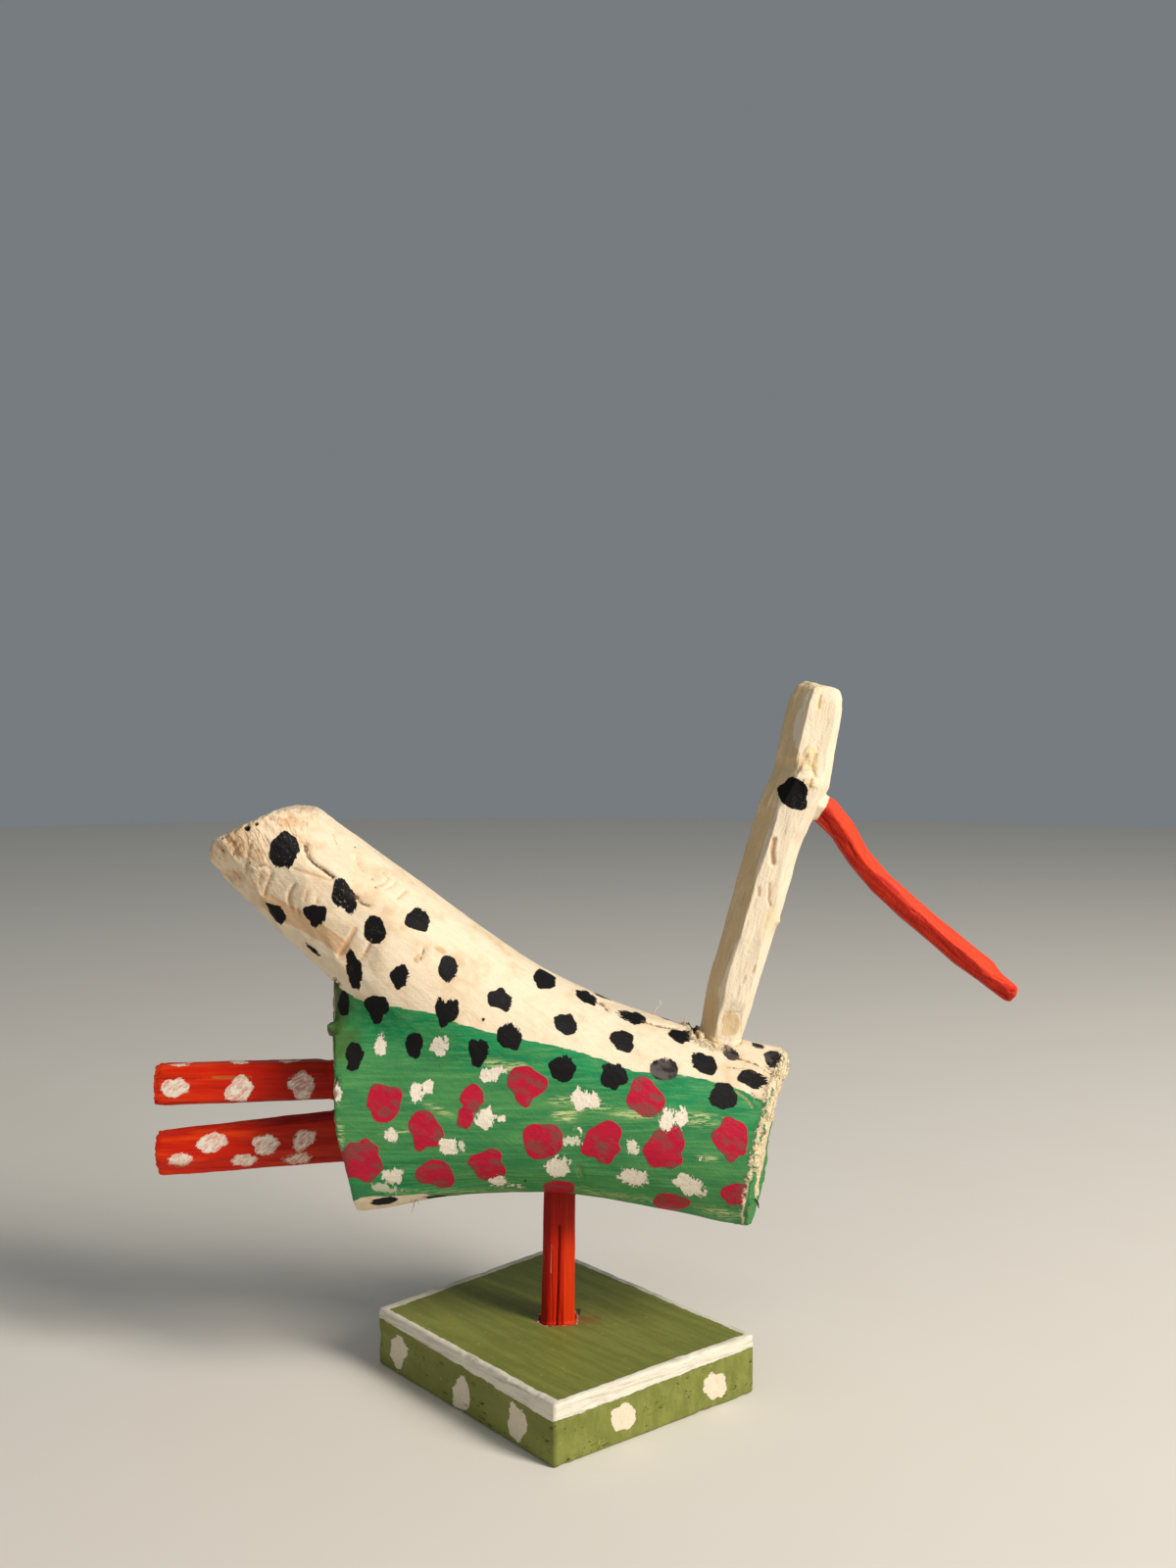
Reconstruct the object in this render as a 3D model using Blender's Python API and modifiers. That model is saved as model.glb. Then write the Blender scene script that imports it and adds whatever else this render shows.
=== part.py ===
"""A painted wooden bird: a sawn forked branch on one stick, standing on a small square board.

Metres, +Z up. The beak points to +X and the origin is the middle of the board's underside.
Each free form keeps its proportions as shares of its own length. The bird itself hangs on an
empty at the belly, over the leg, so its heights are measured from there.
"""
import math
import random

import bmesh
import bpy
from mathutils import Vector

# Fits: every socket is this much larger than its stick, all round and at its bottom
CLEARANCE = 0.0003

# Base board, sawn by hand and a little out of square
BOARD_THICKNESS = 0.019
BOARD_LEFT_CORNER = (-0.0596, 0.0088)
BOARD_FRONT_CORNER = (0.0005, -0.0600)
BOARD_RIGHT_CORNER = (0.0628, -0.0126)
BOARD_BACK_CORNER = (-0.0037, 0.0638)
BOARD_EDGE_WEAR = 0.0007

# Leg: a squarish stick, a little narrower at the top, between the board and the belly
LEG_LENGTH = 0.0435
LEG_FOOT_WIDTH = 0.0111
LEG_TOP_WIDTH = 0.0100
LEG_DEPTH = 0.0104
LEG_LEAN = 0.0010
LEG_IN_BOARD = 0.009
LEG_IN_BODY = 0.012

# Body: a forked branch, this long between its two sawn ends
BODY_LENGTH = 0.1415

# The long limb, in body lengths: x, lowest z, highest z, and half its depth along y
LIMB_STATIONS = [
    (0.664, -0.092, 0.311, 0.194),
    (0.438, -0.085, 0.325, 0.201),
    (0.212, -0.040, 0.357, 0.198),
    (0.000, -0.009, 0.392, 0.194),
    (-0.212, -0.013, 0.417, 0.201),
    (-0.396, -0.047, 0.445, 0.200),
    (-0.636, -0.076, 0.477, 0.198),
]

# The arm that rises out of it to the stub, in body lengths: x, z and radius
STUB_STATIONS = [
    (0.495, 0.138, 0.180),
    (0.297, 0.180, 0.186),
    (0.096, 0.242, 0.187),
    (-0.127, 0.343, 0.188),
    (-0.332, 0.502, 0.175),
    (-0.512, 0.666, 0.151),
    (-0.650, 0.792, 0.133),
    (-0.770, 0.905, 0.130),
]

# The saw cuts, in body lengths and degrees
BREAST_CUT_X = 0.488
BREAST_CUT_Z = 0.124
BREAST_CUT_YAW = 14.0
BREAST_CUT_OVERHANG = 11.0
TAIL_CUT_X = -0.512
TAIL_CUT_YAW = 10.0
CROTCH_Z = 0.494
STUB_UNDERSIDE_SLOPE = 41.0
HAUNCH_CHAMFER_Z = 0.190
HAUNCH_CHAMFER = 12.0

# Knife cuts that round off the stub: x and z on each, in body lengths, and where it faces, in degrees
STUB_CUTS = [
    (-0.678, 0.841, 116.0),
    (-0.767, 0.788, 165.0),
    (-0.746, 0.813, 140.0),
    (-0.565, 0.871, 88.0),
]

# Neck: how far up the body it stands, in body lengths, and its own length and width
NECK_FOOT_X = 0.366
NECK_FOOT_Z = 0.332
NECK_LENGTH = 0.1191
NECK_WIDTH = 0.0170
NECK_DEPTH = 0.0170
NECK_IN_BODY = 0.010

# In neck lengths from its foot, x and z, with the width there as a share of the neck's
NECK_STATIONS = [
    (0.000, 0.000, 0.80),
    (0.012, 0.046, 0.84),
    (0.036, 0.151, 0.94),
    (0.076, 0.286, 0.96),
    (0.107, 0.390, 0.98),
    (0.137, 0.500, 1.00),
    (0.172, 0.617, 1.05),
    (0.219, 0.714, 1.11),
    (0.232, 0.793, 1.07),
    (0.244, 0.852, 1.05),
    (0.258, 0.911, 1.01),
    (0.269, 0.946, 0.88),
    (0.274, 0.964, 0.66),
]

# Beak: the thin arm of the same twig, from its root inside the neck, in neck lengths
BEAK_ROOT_X = 0.221
BEAK_ROOT_Z = 0.676
BEAK_LENGTH = 0.0952
BEAK_WIDTH = 0.0082
BEAK_DEPTH = 0.0084

# In beak lengths from its root, x and z, with the width there as a share of the beak's
BEAK_STATIONS = [
    (0.000, 0.000, 0.98),
    (0.082, -0.061, 1.15),
    (0.139, -0.124, 1.05),
    (0.197, -0.218, 0.93),
    (0.271, -0.305, 0.94),
    (0.359, -0.384, 0.99),
    (0.454, -0.464, 0.99),
    (0.551, -0.546, 1.02),
    (0.625, -0.602, 0.98),
    (0.657, -0.634, 0.82),
    (0.712, -0.677, 0.77),
    (0.723, -0.685, 0.62),
]

# Tail sticks, let into the sawn tail end one above the other: z of the upper one there, in body lengths
UPPER_TAIL_Z = 0.247
UPPER_TAIL_LENGTH = 0.0565
UPPER_TAIL_DROOP = 2.0
UPPER_TAIL_END_HEIGHT = 0.0130
UPPER_TAIL_ROOT_HEIGHT = 0.0122
UPPER_TAIL_DEPTH = 0.0118
LOWER_TAIL_LENGTH = 0.0563
LOWER_TAIL_DROOP = 5.6
LOWER_TAIL_END_HEIGHT = 0.0146
LOWER_TAIL_ROOT_HEIGHT = 0.0172
LOWER_TAIL_DEPTH = 0.0128
TAIL_GAP = 0.0039
TAIL_IN_BODY = 0.012

# Corners of the sticks, in half depths and half widths or heights, going round from the front
NECK_SECTION = [
    (-0.15, -1.0), (-1.0, -0.35), (-0.92, 0.6), (-0.2, 1.0), (0.6, 0.85), (1.0, 0.2), (0.75, -0.75),
]
BEAK_SECTION = [
    (-0.2, -1.0), (-1.0, -0.1), (-0.6, 0.85), (0.35, 1.0), (1.0, 0.25), (0.65, -0.85),
]
UPPER_TAIL_SECTION = [
    (-1.0, -0.7), (-0.9, 0.45), (-0.35, 1.0), (0.75, 0.9), (1.0, 0.3), (0.8, -0.8), (-0.2, -1.0),
]
LOWER_TAIL_SECTION = [
    (-1.0, -0.15), (-0.8, 0.8), (0.1, 1.0), (0.9, 0.75), (1.0, -0.5), (0.3, -1.0), (-0.55, -0.9),
]
LEG_SECTION = [
    (-1.0, 0.35), (-0.75, 1.0), (0.7, 1.0), (1.0, 0.5), (1.0, -0.7), (0.45, -1.0), (-0.7, -0.95), (-1.0, -0.6),
]

# How the twig's facets vary, and how fine the branch's skin is, in body lengths
KNIFE_SEED = 7
CORNER_UNEVENNESS = 0.06
BRANCH_SIDES = 32
BRANCH_STEPS = 4
BRANCH_VOXEL = 0.024
BRANCH_EASING = 12
BRANCH_FACES_KEPT = 0.50

CREAM = (0.86, 0.75, 0.55)
WHITE = (0.84, 0.77, 0.62)
OLIVE = (0.19, 0.22, 0.05)
RED = (0.68, 0.06, 0.015)


def empty_the_scene():
    for old in list(bpy.data.objects):
        bpy.data.objects.remove(old, do_unlink=True)


def new_collection(name):
    collection = bpy.data.collections.new(name)
    bpy.context.scene.collection.children.link(collection)
    return collection


def paint(name, colour, roughness):
    material = bpy.data.materials.new(name)
    material.use_nodes = True
    shader = material.node_tree.nodes["Principled BSDF"]
    shader.inputs["Base Color"].default_value = (*colour, 1.0)
    shader.inputs["Roughness"].default_value = roughness
    shader.inputs["Metallic"].default_value = 0.0
    return material


def add_object(name, mesh, collection, parent=None, material=None):
    item = bpy.data.objects.new(name, mesh)
    collection.objects.link(item)
    item.parent = parent
    if material:
        mesh.materials.append(material)
    return item


def as_cutter(item):
    item.hide_render = True
    item.display_type = "WIRE"
    return item


def boolean(item, other, operation):
    modifier = item.modifiers.new(operation.title(), "BOOLEAN")
    modifier.operation = operation
    modifier.solver = "EXACT"
    modifier.object = other


def loft(name, rings):
    """A closed mesh through rings of as many corners each, capped at both ends."""
    shape = bmesh.new()
    loops = [[shape.verts.new(corner) for corner in ring] for ring in rings]
    count = len(loops[0])
    for near, far in zip(loops, loops[1:]):
        for index in range(count):
            after = (index + 1) % count
            shape.faces.new((near[index], near[after], far[after], far[index]))
    shape.faces.new(loops[0])
    shape.faces.new(loops[-1])
    bmesh.ops.recalc_face_normals(shape, faces=shape.faces)
    mesh = bpy.data.meshes.new(name)
    shape.to_mesh(mesh)
    shape.free()
    return mesh


def catmull_rom(a, b, c, d, t):
    return 0.5 * (2 * b + (c - a) * t + (2 * a - 5 * b + 4 * c - d) * t ** 2 + (3 * b - a - 3 * c + d) * t ** 3)


def smooth_through(stations, steps):
    """The stations, with steps between each pair read from a smooth curve through them."""
    padded = [stations[0], *stations, stations[-1]]
    result = []
    for four in zip(padded, padded[1:], padded[2:], padded[3:]):
        for step in range(steps):
            result.append(tuple(catmull_rom(*values, step / steps) for values in zip(*four)))
    result.append(stations[-1])
    return result


def directions(points):
    """The way a path runs at each of its points."""
    ends = zip([points[0], *points[:-1]], [*points[1:], points[-1]])
    return [(after - before).normalized() for before, after in ends]


def ring(centre, along, section, half_width, half_depth):
    """A section's corners, set square to a direction in the x-z plane."""
    side = Vector((0.0, 1.0, 0.0))
    across = side.cross(along).normalized()
    return [centre + side * depth * half_depth + across * width * half_width for depth, width in section]


def fill_square(corners):
    """The corners, stretched to reach from -1 to 1 both ways."""
    spans = [(min(values), max(values)) for values in zip(*corners)]
    return [tuple(2 * (value - low) / (high - low) - 1 for value, (low, high) in zip(corner, spans))
            for corner in corners]


def recut(section, chance):
    """The same corners, each a little in or out."""
    return fill_square([tuple(value * (1 + chance.uniform(-CORNER_UNEVENNESS, CORNER_UNEVENNESS))
                              for value in corner) for corner in section])


def whittled_rings(stations, width, depth, section, seed, grow=0.0):
    """Rings of a whittled twig through stations of a centre and a share of the twig's width."""
    chance = random.Random(seed)
    ways = directions([centre for centre, share in stations])
    rings = []
    for (centre, share), along in zip(stations, ways):
        start = centre - along * grow if not rings else centre
        half_width = 0.5 * width * share + grow
        half_depth = 0.5 * depth * share + grow
        rings.append(ring(start, along, recut(section, chance), half_width, half_depth))
    return rings


def riven_rings(start, end, section, start_height, end_height, depth, grow=0.0):
    """Rings of a straight stick between two points, each end with its own height."""
    along = (end - start).normalized()
    reach = along * grow
    return [
        ring(start - reach, along, section, 0.5 * start_height + grow, 0.5 * depth + grow),
        ring(end + reach, along, section, 0.5 * end_height + grow, 0.5 * depth + grow),
    ]


def leg_rings(grow=0.0):
    foot = Vector((0.0, 0.0, BOARD_THICKNESS - LEG_IN_BOARD))
    top = Vector((LEG_LEAN, 0.0, BOARD_THICKNESS + LEG_LENGTH + LEG_IN_BODY))
    return riven_rings(foot, top, LEG_SECTION, LEG_FOOT_WIDTH, LEG_TOP_WIDTH, LEG_DEPTH, grow)


def tail_rings(root_z, length, droop, section, root_height, end_height, depth, grow):
    """Rings of a tail stick that leaves the sawn tail end at root_z and slopes down by droop degrees."""
    root = Vector((TAIL_CUT_X * BODY_LENGTH, 0.0, root_z))
    slope = math.radians(droop)
    outward = Vector((-math.cos(slope), 0.0, -math.sin(slope)))
    tenon = root - outward * TAIL_IN_BODY
    return riven_rings(tenon, root + outward * length, section, root_height, end_height, depth, grow)


def upper_tail_rings(grow=0.0):
    return tail_rings(UPPER_TAIL_Z * BODY_LENGTH, UPPER_TAIL_LENGTH, UPPER_TAIL_DROOP, UPPER_TAIL_SECTION,
                      UPPER_TAIL_ROOT_HEIGHT, UPPER_TAIL_END_HEIGHT, UPPER_TAIL_DEPTH, grow)


def lower_tail_rings(grow=0.0):
    apart = 0.5 * (UPPER_TAIL_ROOT_HEIGHT + LOWER_TAIL_ROOT_HEIGHT) + TAIL_GAP
    return tail_rings(UPPER_TAIL_Z * BODY_LENGTH - apart, LOWER_TAIL_LENGTH, LOWER_TAIL_DROOP, LOWER_TAIL_SECTION,
                      LOWER_TAIL_ROOT_HEIGHT, LOWER_TAIL_END_HEIGHT, LOWER_TAIL_DEPTH, grow)


def neck_foot():
    return Vector((NECK_FOOT_X, 0.0, NECK_FOOT_Z)) * BODY_LENGTH


def neck_rings(grow=0.0):
    stations = [(neck_foot() + Vector((x, 0.0, z)) * NECK_LENGTH, share) for x, z, share in NECK_STATIONS]
    (foot, foot_share), (above, above_share) = stations[:2]
    tenon = foot + (foot - above).normalized() * NECK_IN_BODY
    return whittled_rings([(tenon, foot_share), *stations], NECK_WIDTH, NECK_DEPTH, NECK_SECTION, KNIFE_SEED, grow)


def beak_rings():
    root = neck_foot() + Vector((BEAK_ROOT_X, 0.0, BEAK_ROOT_Z)) * NECK_LENGTH
    stations = [(root + Vector((x, 0.0, z)) * BEAK_LENGTH, share) for x, z, share in BEAK_STATIONS]
    return whittled_rings(stations, BEAK_WIDTH, BEAK_DEPTH, BEAK_SECTION, KNIFE_SEED + 1)


def unit_circle():
    angles = [math.tau * index / BRANCH_SIDES for index in range(BRANCH_SIDES)]
    return [(math.cos(angle), math.sin(angle)) for angle in angles]


def limb_rings():
    rings = []
    for x, low, high, half_depth in smooth_through(LIMB_STATIONS, BRANCH_STEPS):
        middle = 0.5 * (low + high)
        half_height = 0.5 * (high - low)
        rings.append([Vector((x, half_depth * across, middle + half_height * up)) * BODY_LENGTH
                      for across, up in unit_circle()])
    return rings


def stub_rings():
    stations = smooth_through(STUB_STATIONS, BRANCH_STEPS)
    points = [Vector((x, 0.0, z)) * BODY_LENGTH for x, z, radius in stations]
    radii = [radius * BODY_LENGTH for x, z, radius in stations]
    return [ring(point, along, unit_circle(), radius, radius)
            for point, along, radius in zip(points, directions(points), radii)]


def half_space(name, point, outward, collection, parent):
    """A cutter that takes away what lies on the outward side of a plane."""
    shape = bmesh.new()
    bmesh.ops.create_cube(shape, size=2 * BODY_LENGTH)
    bmesh.ops.translate(shape, verts=shape.verts, vec=(0.0, 0.0, BODY_LENGTH))
    mesh = bpy.data.meshes.new(name)
    shape.to_mesh(mesh)
    shape.free()
    cutter = as_cutter(add_object(name, mesh, collection, parent))
    cutter.rotation_euler = outward.to_track_quat("Z", "Y").to_euler()
    cutter.location = point
    return cutter


def facing(turn, yaw=0.0):
    """A direction turned up from +X in the x-z plane, then swung about Z towards +Y."""
    rise = math.radians(turn)
    swing = math.radians(yaw)
    return Vector((math.cos(rise) * math.cos(swing), math.cos(rise) * math.sin(swing), math.sin(rise)))


def tail_cut_rings():
    """What the tail's saw cut takes away: all beyond the face, up to the underside of the stub."""
    toe_shift = (HAUNCH_CHAMFER_Z + 1.0) * math.tan(math.radians(HAUNCH_CHAMFER))
    far = TAIL_CUT_X - 1.0
    outline = [
        (TAIL_CUT_X, CROTCH_Z),
        (TAIL_CUT_X, HAUNCH_CHAMFER_Z),
        (TAIL_CUT_X + toe_shift, -1.0),
        (far, -1.0),
        (far, CROTCH_Z + math.tan(math.radians(STUB_UNDERSIDE_SLOPE))),
    ]
    swing = math.tan(math.radians(TAIL_CUT_YAW))
    return [[Vector((x - swing * y, y, z)) * BODY_LENGTH for x, z in outline] for y in (-1.0, 1.0)]


def make_board(collection, material):
    outline = bpy.data.curves.new("board_outline", "CURVE")
    outline.dimensions = "2D"
    outline.fill_mode = "BOTH"
    outline.extrude = 0.5 * BOARD_THICKNESS
    corners = [BOARD_LEFT_CORNER, BOARD_FRONT_CORNER, BOARD_RIGHT_CORNER, BOARD_BACK_CORNER]
    edge = outline.splines.new("POLY")
    edge.points.add(len(corners) - 1)
    for point, (x, y) in zip(edge.points, corners):
        point.co = (x, y, 0.0, 1.0)
    edge.use_cyclic_u = True
    curve = add_object("board_outline", outline, collection)
    curve.location.z = 0.5 * BOARD_THICKNESS
    bpy.context.view_layer.update()
    mesh = bpy.data.meshes.new_from_object(curve.evaluated_get(bpy.context.evaluated_depsgraph_get()))
    place = curve.matrix_world.copy()
    bpy.data.objects.remove(curve, do_unlink=True)
    shape = bmesh.new()
    shape.from_mesh(mesh)
    bmesh.ops.remove_doubles(shape, verts=shape.verts, dist=0.00001)
    bmesh.ops.recalc_face_normals(shape, faces=shape.faces)
    shape.to_mesh(mesh)
    shape.free()
    board = add_object("base_board", mesh, collection, material=material)
    board.matrix_world = place
    wear = board.modifiers.new("Worn edges", "BEVEL")
    wear.width = BOARD_EDGE_WEAR
    wear.segments = 1
    return board


def make_body(collection, cutters, parent, material):
    body = add_object("body_branch", loft("body_branch", limb_rings()), collection, parent, material)
    stub = as_cutter(add_object("stub_limb", loft("stub_limb", stub_rings()), cutters, parent))
    boolean(body, stub, "UNION")
    skin = body.modifiers.new("One branch", "REMESH")
    skin.mode = "VOXEL"
    skin.voxel_size = BRANCH_VOXEL * BODY_LENGTH
    ease = body.modifiers.new("Grown together", "SMOOTH")
    ease.factor = 0.5
    ease.iterations = BRANCH_EASING
    fewer = body.modifiers.new("Fewer faces", "DECIMATE")
    fewer.ratio = BRANCH_FACES_KEPT
    cuts = [
        half_space("breast_saw_cut", Vector((BREAST_CUT_X, 0.0, BREAST_CUT_Z)) * BODY_LENGTH,
                   facing(-BREAST_CUT_OVERHANG, -BREAST_CUT_YAW), cutters, parent),
        as_cutter(add_object("tail_saw_cut", loft("tail_saw_cut", tail_cut_rings()), cutters, parent)),
    ]
    for number, (x, z, turn) in enumerate(STUB_CUTS, start=1):
        point = Vector((x, 0.0, z)) * BODY_LENGTH
        cuts.append(half_space(f"stub_knife_cut_{number}", point, facing(turn), cutters, parent))
    for cut in cuts:
        boolean(body, cut, "DIFFERENCE")
    return body


def main():
    empty_the_scene()
    bird = new_collection("wooden_bird")
    cutters = new_collection("cutters")
    cream = paint("cream_and_green_paint", CREAM, 0.75)
    white = paint("white_paint", WHITE, 0.75)
    olive = paint("olive_paint", OLIVE, 0.6)
    red = paint("red_paint", RED, 0.5)
    belly = add_object("belly", None, bird)
    belly.location.z = BOARD_THICKNESS + LEG_LENGTH

    board = make_board(bird, olive)
    body = make_body(bird, cutters, belly, cream)
    add_object("leg_stick", loft("leg_stick", leg_rings()), bird, material=red)
    add_object("tail_stick_upper", loft("tail_stick_upper", upper_tail_rings()), bird, belly, red)
    add_object("tail_stick_lower", loft("tail_stick_lower", lower_tail_rings()), bird, belly, red)
    neck = add_object("neck_and_beak", loft("neck_and_beak", neck_rings()), bird, belly, white)
    beak = as_cutter(add_object("beak_arm", loft("beak_arm", beak_rings()), cutters, belly))
    boolean(neck, beak, "UNION")

    leg_socket = as_cutter(add_object("leg_socket", loft("leg_socket", leg_rings(CLEARANCE)), cutters))
    boolean(board, leg_socket, "DIFFERENCE")
    boolean(body, leg_socket, "DIFFERENCE")
    sockets = {
        "upper_tail_socket": upper_tail_rings(CLEARANCE),
        "lower_tail_socket": lower_tail_rings(CLEARANCE),
        "neck_socket": neck_rings(CLEARANCE),
    }
    for name, rings in sockets.items():
        boolean(body, as_cutter(add_object(name, loft(name, rings), cutters, belly)), "DIFFERENCE")


main()
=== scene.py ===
"""The looks of a painted wooden bird: carved wood, brushed paint, camera and light, in metres.

The paint marks and cracks were found in the photograph, so each is given by pixels of its
1200 x 1600 frame. A mark covers the points that the photograph's camera would see there, and
the hidden side gets a mirrored and shuffled copy.
"""

import itertools
import math
import random
from collections import namedtuple

import bmesh
import bpy
import numpy as np
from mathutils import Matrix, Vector
from mathutils.bvhtree import BVHTree


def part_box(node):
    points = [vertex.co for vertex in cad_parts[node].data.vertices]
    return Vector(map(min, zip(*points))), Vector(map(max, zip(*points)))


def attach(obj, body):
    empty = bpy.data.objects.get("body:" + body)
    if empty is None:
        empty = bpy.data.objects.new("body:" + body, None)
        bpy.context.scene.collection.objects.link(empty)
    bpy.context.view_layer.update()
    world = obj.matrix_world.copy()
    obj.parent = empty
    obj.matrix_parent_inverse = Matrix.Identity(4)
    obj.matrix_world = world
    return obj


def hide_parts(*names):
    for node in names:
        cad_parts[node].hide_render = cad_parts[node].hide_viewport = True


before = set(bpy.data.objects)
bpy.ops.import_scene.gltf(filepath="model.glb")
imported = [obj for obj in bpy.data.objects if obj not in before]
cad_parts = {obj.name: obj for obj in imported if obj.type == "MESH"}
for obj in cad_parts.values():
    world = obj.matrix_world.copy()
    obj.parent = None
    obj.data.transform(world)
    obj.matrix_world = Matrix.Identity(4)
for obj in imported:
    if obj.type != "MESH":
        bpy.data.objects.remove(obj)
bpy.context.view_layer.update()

# The camera, fitted to the board's corners in the photograph
PHOTO_WIDTH = 1200
PHOTO_HEIGHT = 1600
FOCAL_PIXELS = 1500.0
CAMERA_PLACE = np.array([0.0100, -0.4690, 0.2162])
CAMERA_DROP = math.radians(2.85)
SENSOR = 36.0
PIXELS_PER_METRE = 3140.0

# The side of the bird that the photograph shows, and the hidden one, as the sign of its mirror
FRONT = 1
BACK = -1
# A distance that counts as outside every mark, and the least cosine at which a point faces the camera
FAR = 0.02
HORIZON = 0.04
# How many pixels aside a point may lie, for each metre that it is nearer to the camera
SOCKET_WEIGHT = 300.0
MILLIMETRE = 0.001

# The cells that the fine skin of each piece is made of
BODY_CELL = 0.00080
NECK_CELL = 0.00038
TAIL_CELL = 0.00040
LEG_CELL = 0.00034
BOARD_CELL = 0.00056

# How deep the wood is worn: wrinkles on the stub, chips along the saw's edges, the nub, the set-back
# of the tail's face, torn ends of the tail sticks, and the board's edges and dents
WRINKLE_DEPTH = 0.0011
CHIP_DEPTH = 0.0011
NUB_DEPTH = 0.0022
TAIL_FACE_DEPTH = 0.0009
TORN_END_DEPTH = 0.0009
EDGE_WEAR = 0.0004
GOUGE_DEPTH = 0.00045
# How high it stands: the torn rim with its lumps, the torn corners, the raw faces, and the knots
RIM_HEIGHT = 0.0005
RIM_LUMPS = 0.0009
CORNER_LUMPS = 0.0006
SAW_LUMPS = 0.0007
KNOT_LUMPS = 0.0006
# The swell of a stick in its socket, and of the upper tail stick outside it
SOCKET_SWELL = 0.00032
UPPER_TAIL_SWELL = 0.0005
# How far the moss spreads round the nub and how high, and how wide the rough ring round the leg is
MOSS_REACH = 0.006
MOSS_HEIGHT = 0.014
RING_WIDTH = 0.0014

# The sawn faces: a point on each, and the way each looks, as a rise and a swing from +X in degrees
BREAST_FACE = ((0.0690, 0.0, 0.0800), (-11.0, -14.0))
TAIL_FACE = ((-0.0725, 0.0, 0.1040), (0.0, 190.0))
CROTCH_HEIGHT = 0.1324

# How the grain of each limb and twig runs: as a turn about Y in degrees, and as a direction
STUB_GRAIN = 42.0
NECK_GRAIN = -74.6
BEAK_GRAIN = 42.0
STUB_WAY = np.array([-0.743, 0.0, 0.669])
NECK_WAY = np.array([0.266, 0.0, 0.964])
BOARD_GRAIN = -47.0

# A brush dab: centre, half width and half height, tilt, the way its bristles lifted, how dry it
# was, and the way it narrows
Dab = namedtuple("Dab", "x y wide tall tilt fray dry narrow", defaults=(0.0, None, 0.0, None))


def dabs(*marks):
    return [Dab(*mark) for mark in marks]


BLACK_DABS = dabs(
    (289.5, 867.4, 15, 19, 0, 60, 0.45), (351, 914, 18.5, 11, 64, 60, 0.5),
    (280.4, 932.5, 12.5, 6.5, 52), (320.9, 937, 11.5, 12, 0, 80, 0, 80),
    (382, 949, 11.5, 15, 0, None, 0.3), (426.5, 938.6, 13, 11.5, 20, -30, 0.2),
    (317.6, 970.7, 9.5, 2, 40), (360.7, 990, 19, 8, 74), (407.5, 997, 9, 12, 0, 10),
    (413, 991, 4, 8, -20), (457, 988, 10.5, 12.5, 0, 30, 0.1), (350.8, 1024, 6.5, 12),
    (384.6, 1032, 11, 14.5, 0, None, 0, 90), (455, 1035.6, 11, 15, 0, -70, 0.1, 100),
    (510.7, 1017, 11, 12, 0, 20, 0.1, -80), (493.3, 1040.3, 2, 2),
    (519.8, 1058, 12.5, 13.5, 0, -70, 0.1), (360.6, 1081.2, 8.5, 15, 12, None, 0, 110),
    (423, 1069.6, 8.5, 13.5, 0, None, 0, 80), (487.5, 1077, 9.5, 14.5, 0, -20, 0, 100),
    (556, 999, 13, 9.5, 25), (577.4, 1045, 11.5, 11), (574, 1090.6, 13.5, 13.5, 0, -60),
    (626.3, 1098, 14, 13.5, 20, -90), (599, 1017.4, 12.5, 5.5, 28), (617, 1015.8, 10, 2.5, 15),
    (646.2, 1038, 13, 6.5, 20, 180), (635.5, 1062, 13.5, 10, 30), (687, 1039, 13, 3, 12),
    (694.4, 1057.6, 12, 6.5, 14, 0, 0.1), (677.8, 1091.2, 14.5, 11.5, 0, -100, 0.8),
    (719, 1085.4, 14, 10, 48, -150, 0.15), (745.8, 1074.6, 11, 5.5, 35, 0, 0.7),
    (773.6, 1066.3, 7, 3, 18, None, 0.8), (788.9, 1080.4, 10.5, 7.5, 50, 0, 0.7),
    (767, 1100.7, 14, 9, 16, 0, 0.25), (738.3, 1118.6, 14.5, 13.5, 0, -160), (769.8, 1226.4, 3, 6),
    (536, 1205, 1.5, 1.5), (392, 1226, 13, 4, -6), (445, 1222, 12, 2, -4), (786, 1162, 1.5, 2),
    (342, 1026, 1.2, 4),
)
MAGENTA_DABS = dabs(
    (392, 1125, 18, 20, 0, 140), (369, 1180, 21, 22, 0, 160, 0, -80),
    (432.8, 1158, 16.5, 20.5, 0, None, 0, 110), (445.2, 1194.8, 17.5, 15.5, 0, None, 0, -80),
    (482, 1120.5, 12.5, 13.5), (474.5, 1141, 9, 10.5), (500, 1185.7, 18, 16, 0, 150, 0, -60),
    (535.6, 1111, 17.5, 20.5, 0, None, 0, 110), (553.8, 1164.2, 20.5, 19.5),
    (570.5, 1212, 17.5, 7), (617.2, 1170, 20, 20.5, 0, None, 0, 60), (658.7, 1120.3, 19.5, 19, 30),
    (681.9, 1175.5, 20.5, 21.5, 0, None, 0, 50), (749, 1165.9, 21, 17.5, 50, None, 0, 50),
    (752.4, 1219, 15.5, 12.5, -10), (684.4, 1226.4, 18, 9, 10), (648, 1141, 1.5, 1.5),
    (710, 1161, 1.5, 1.2),
)
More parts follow.
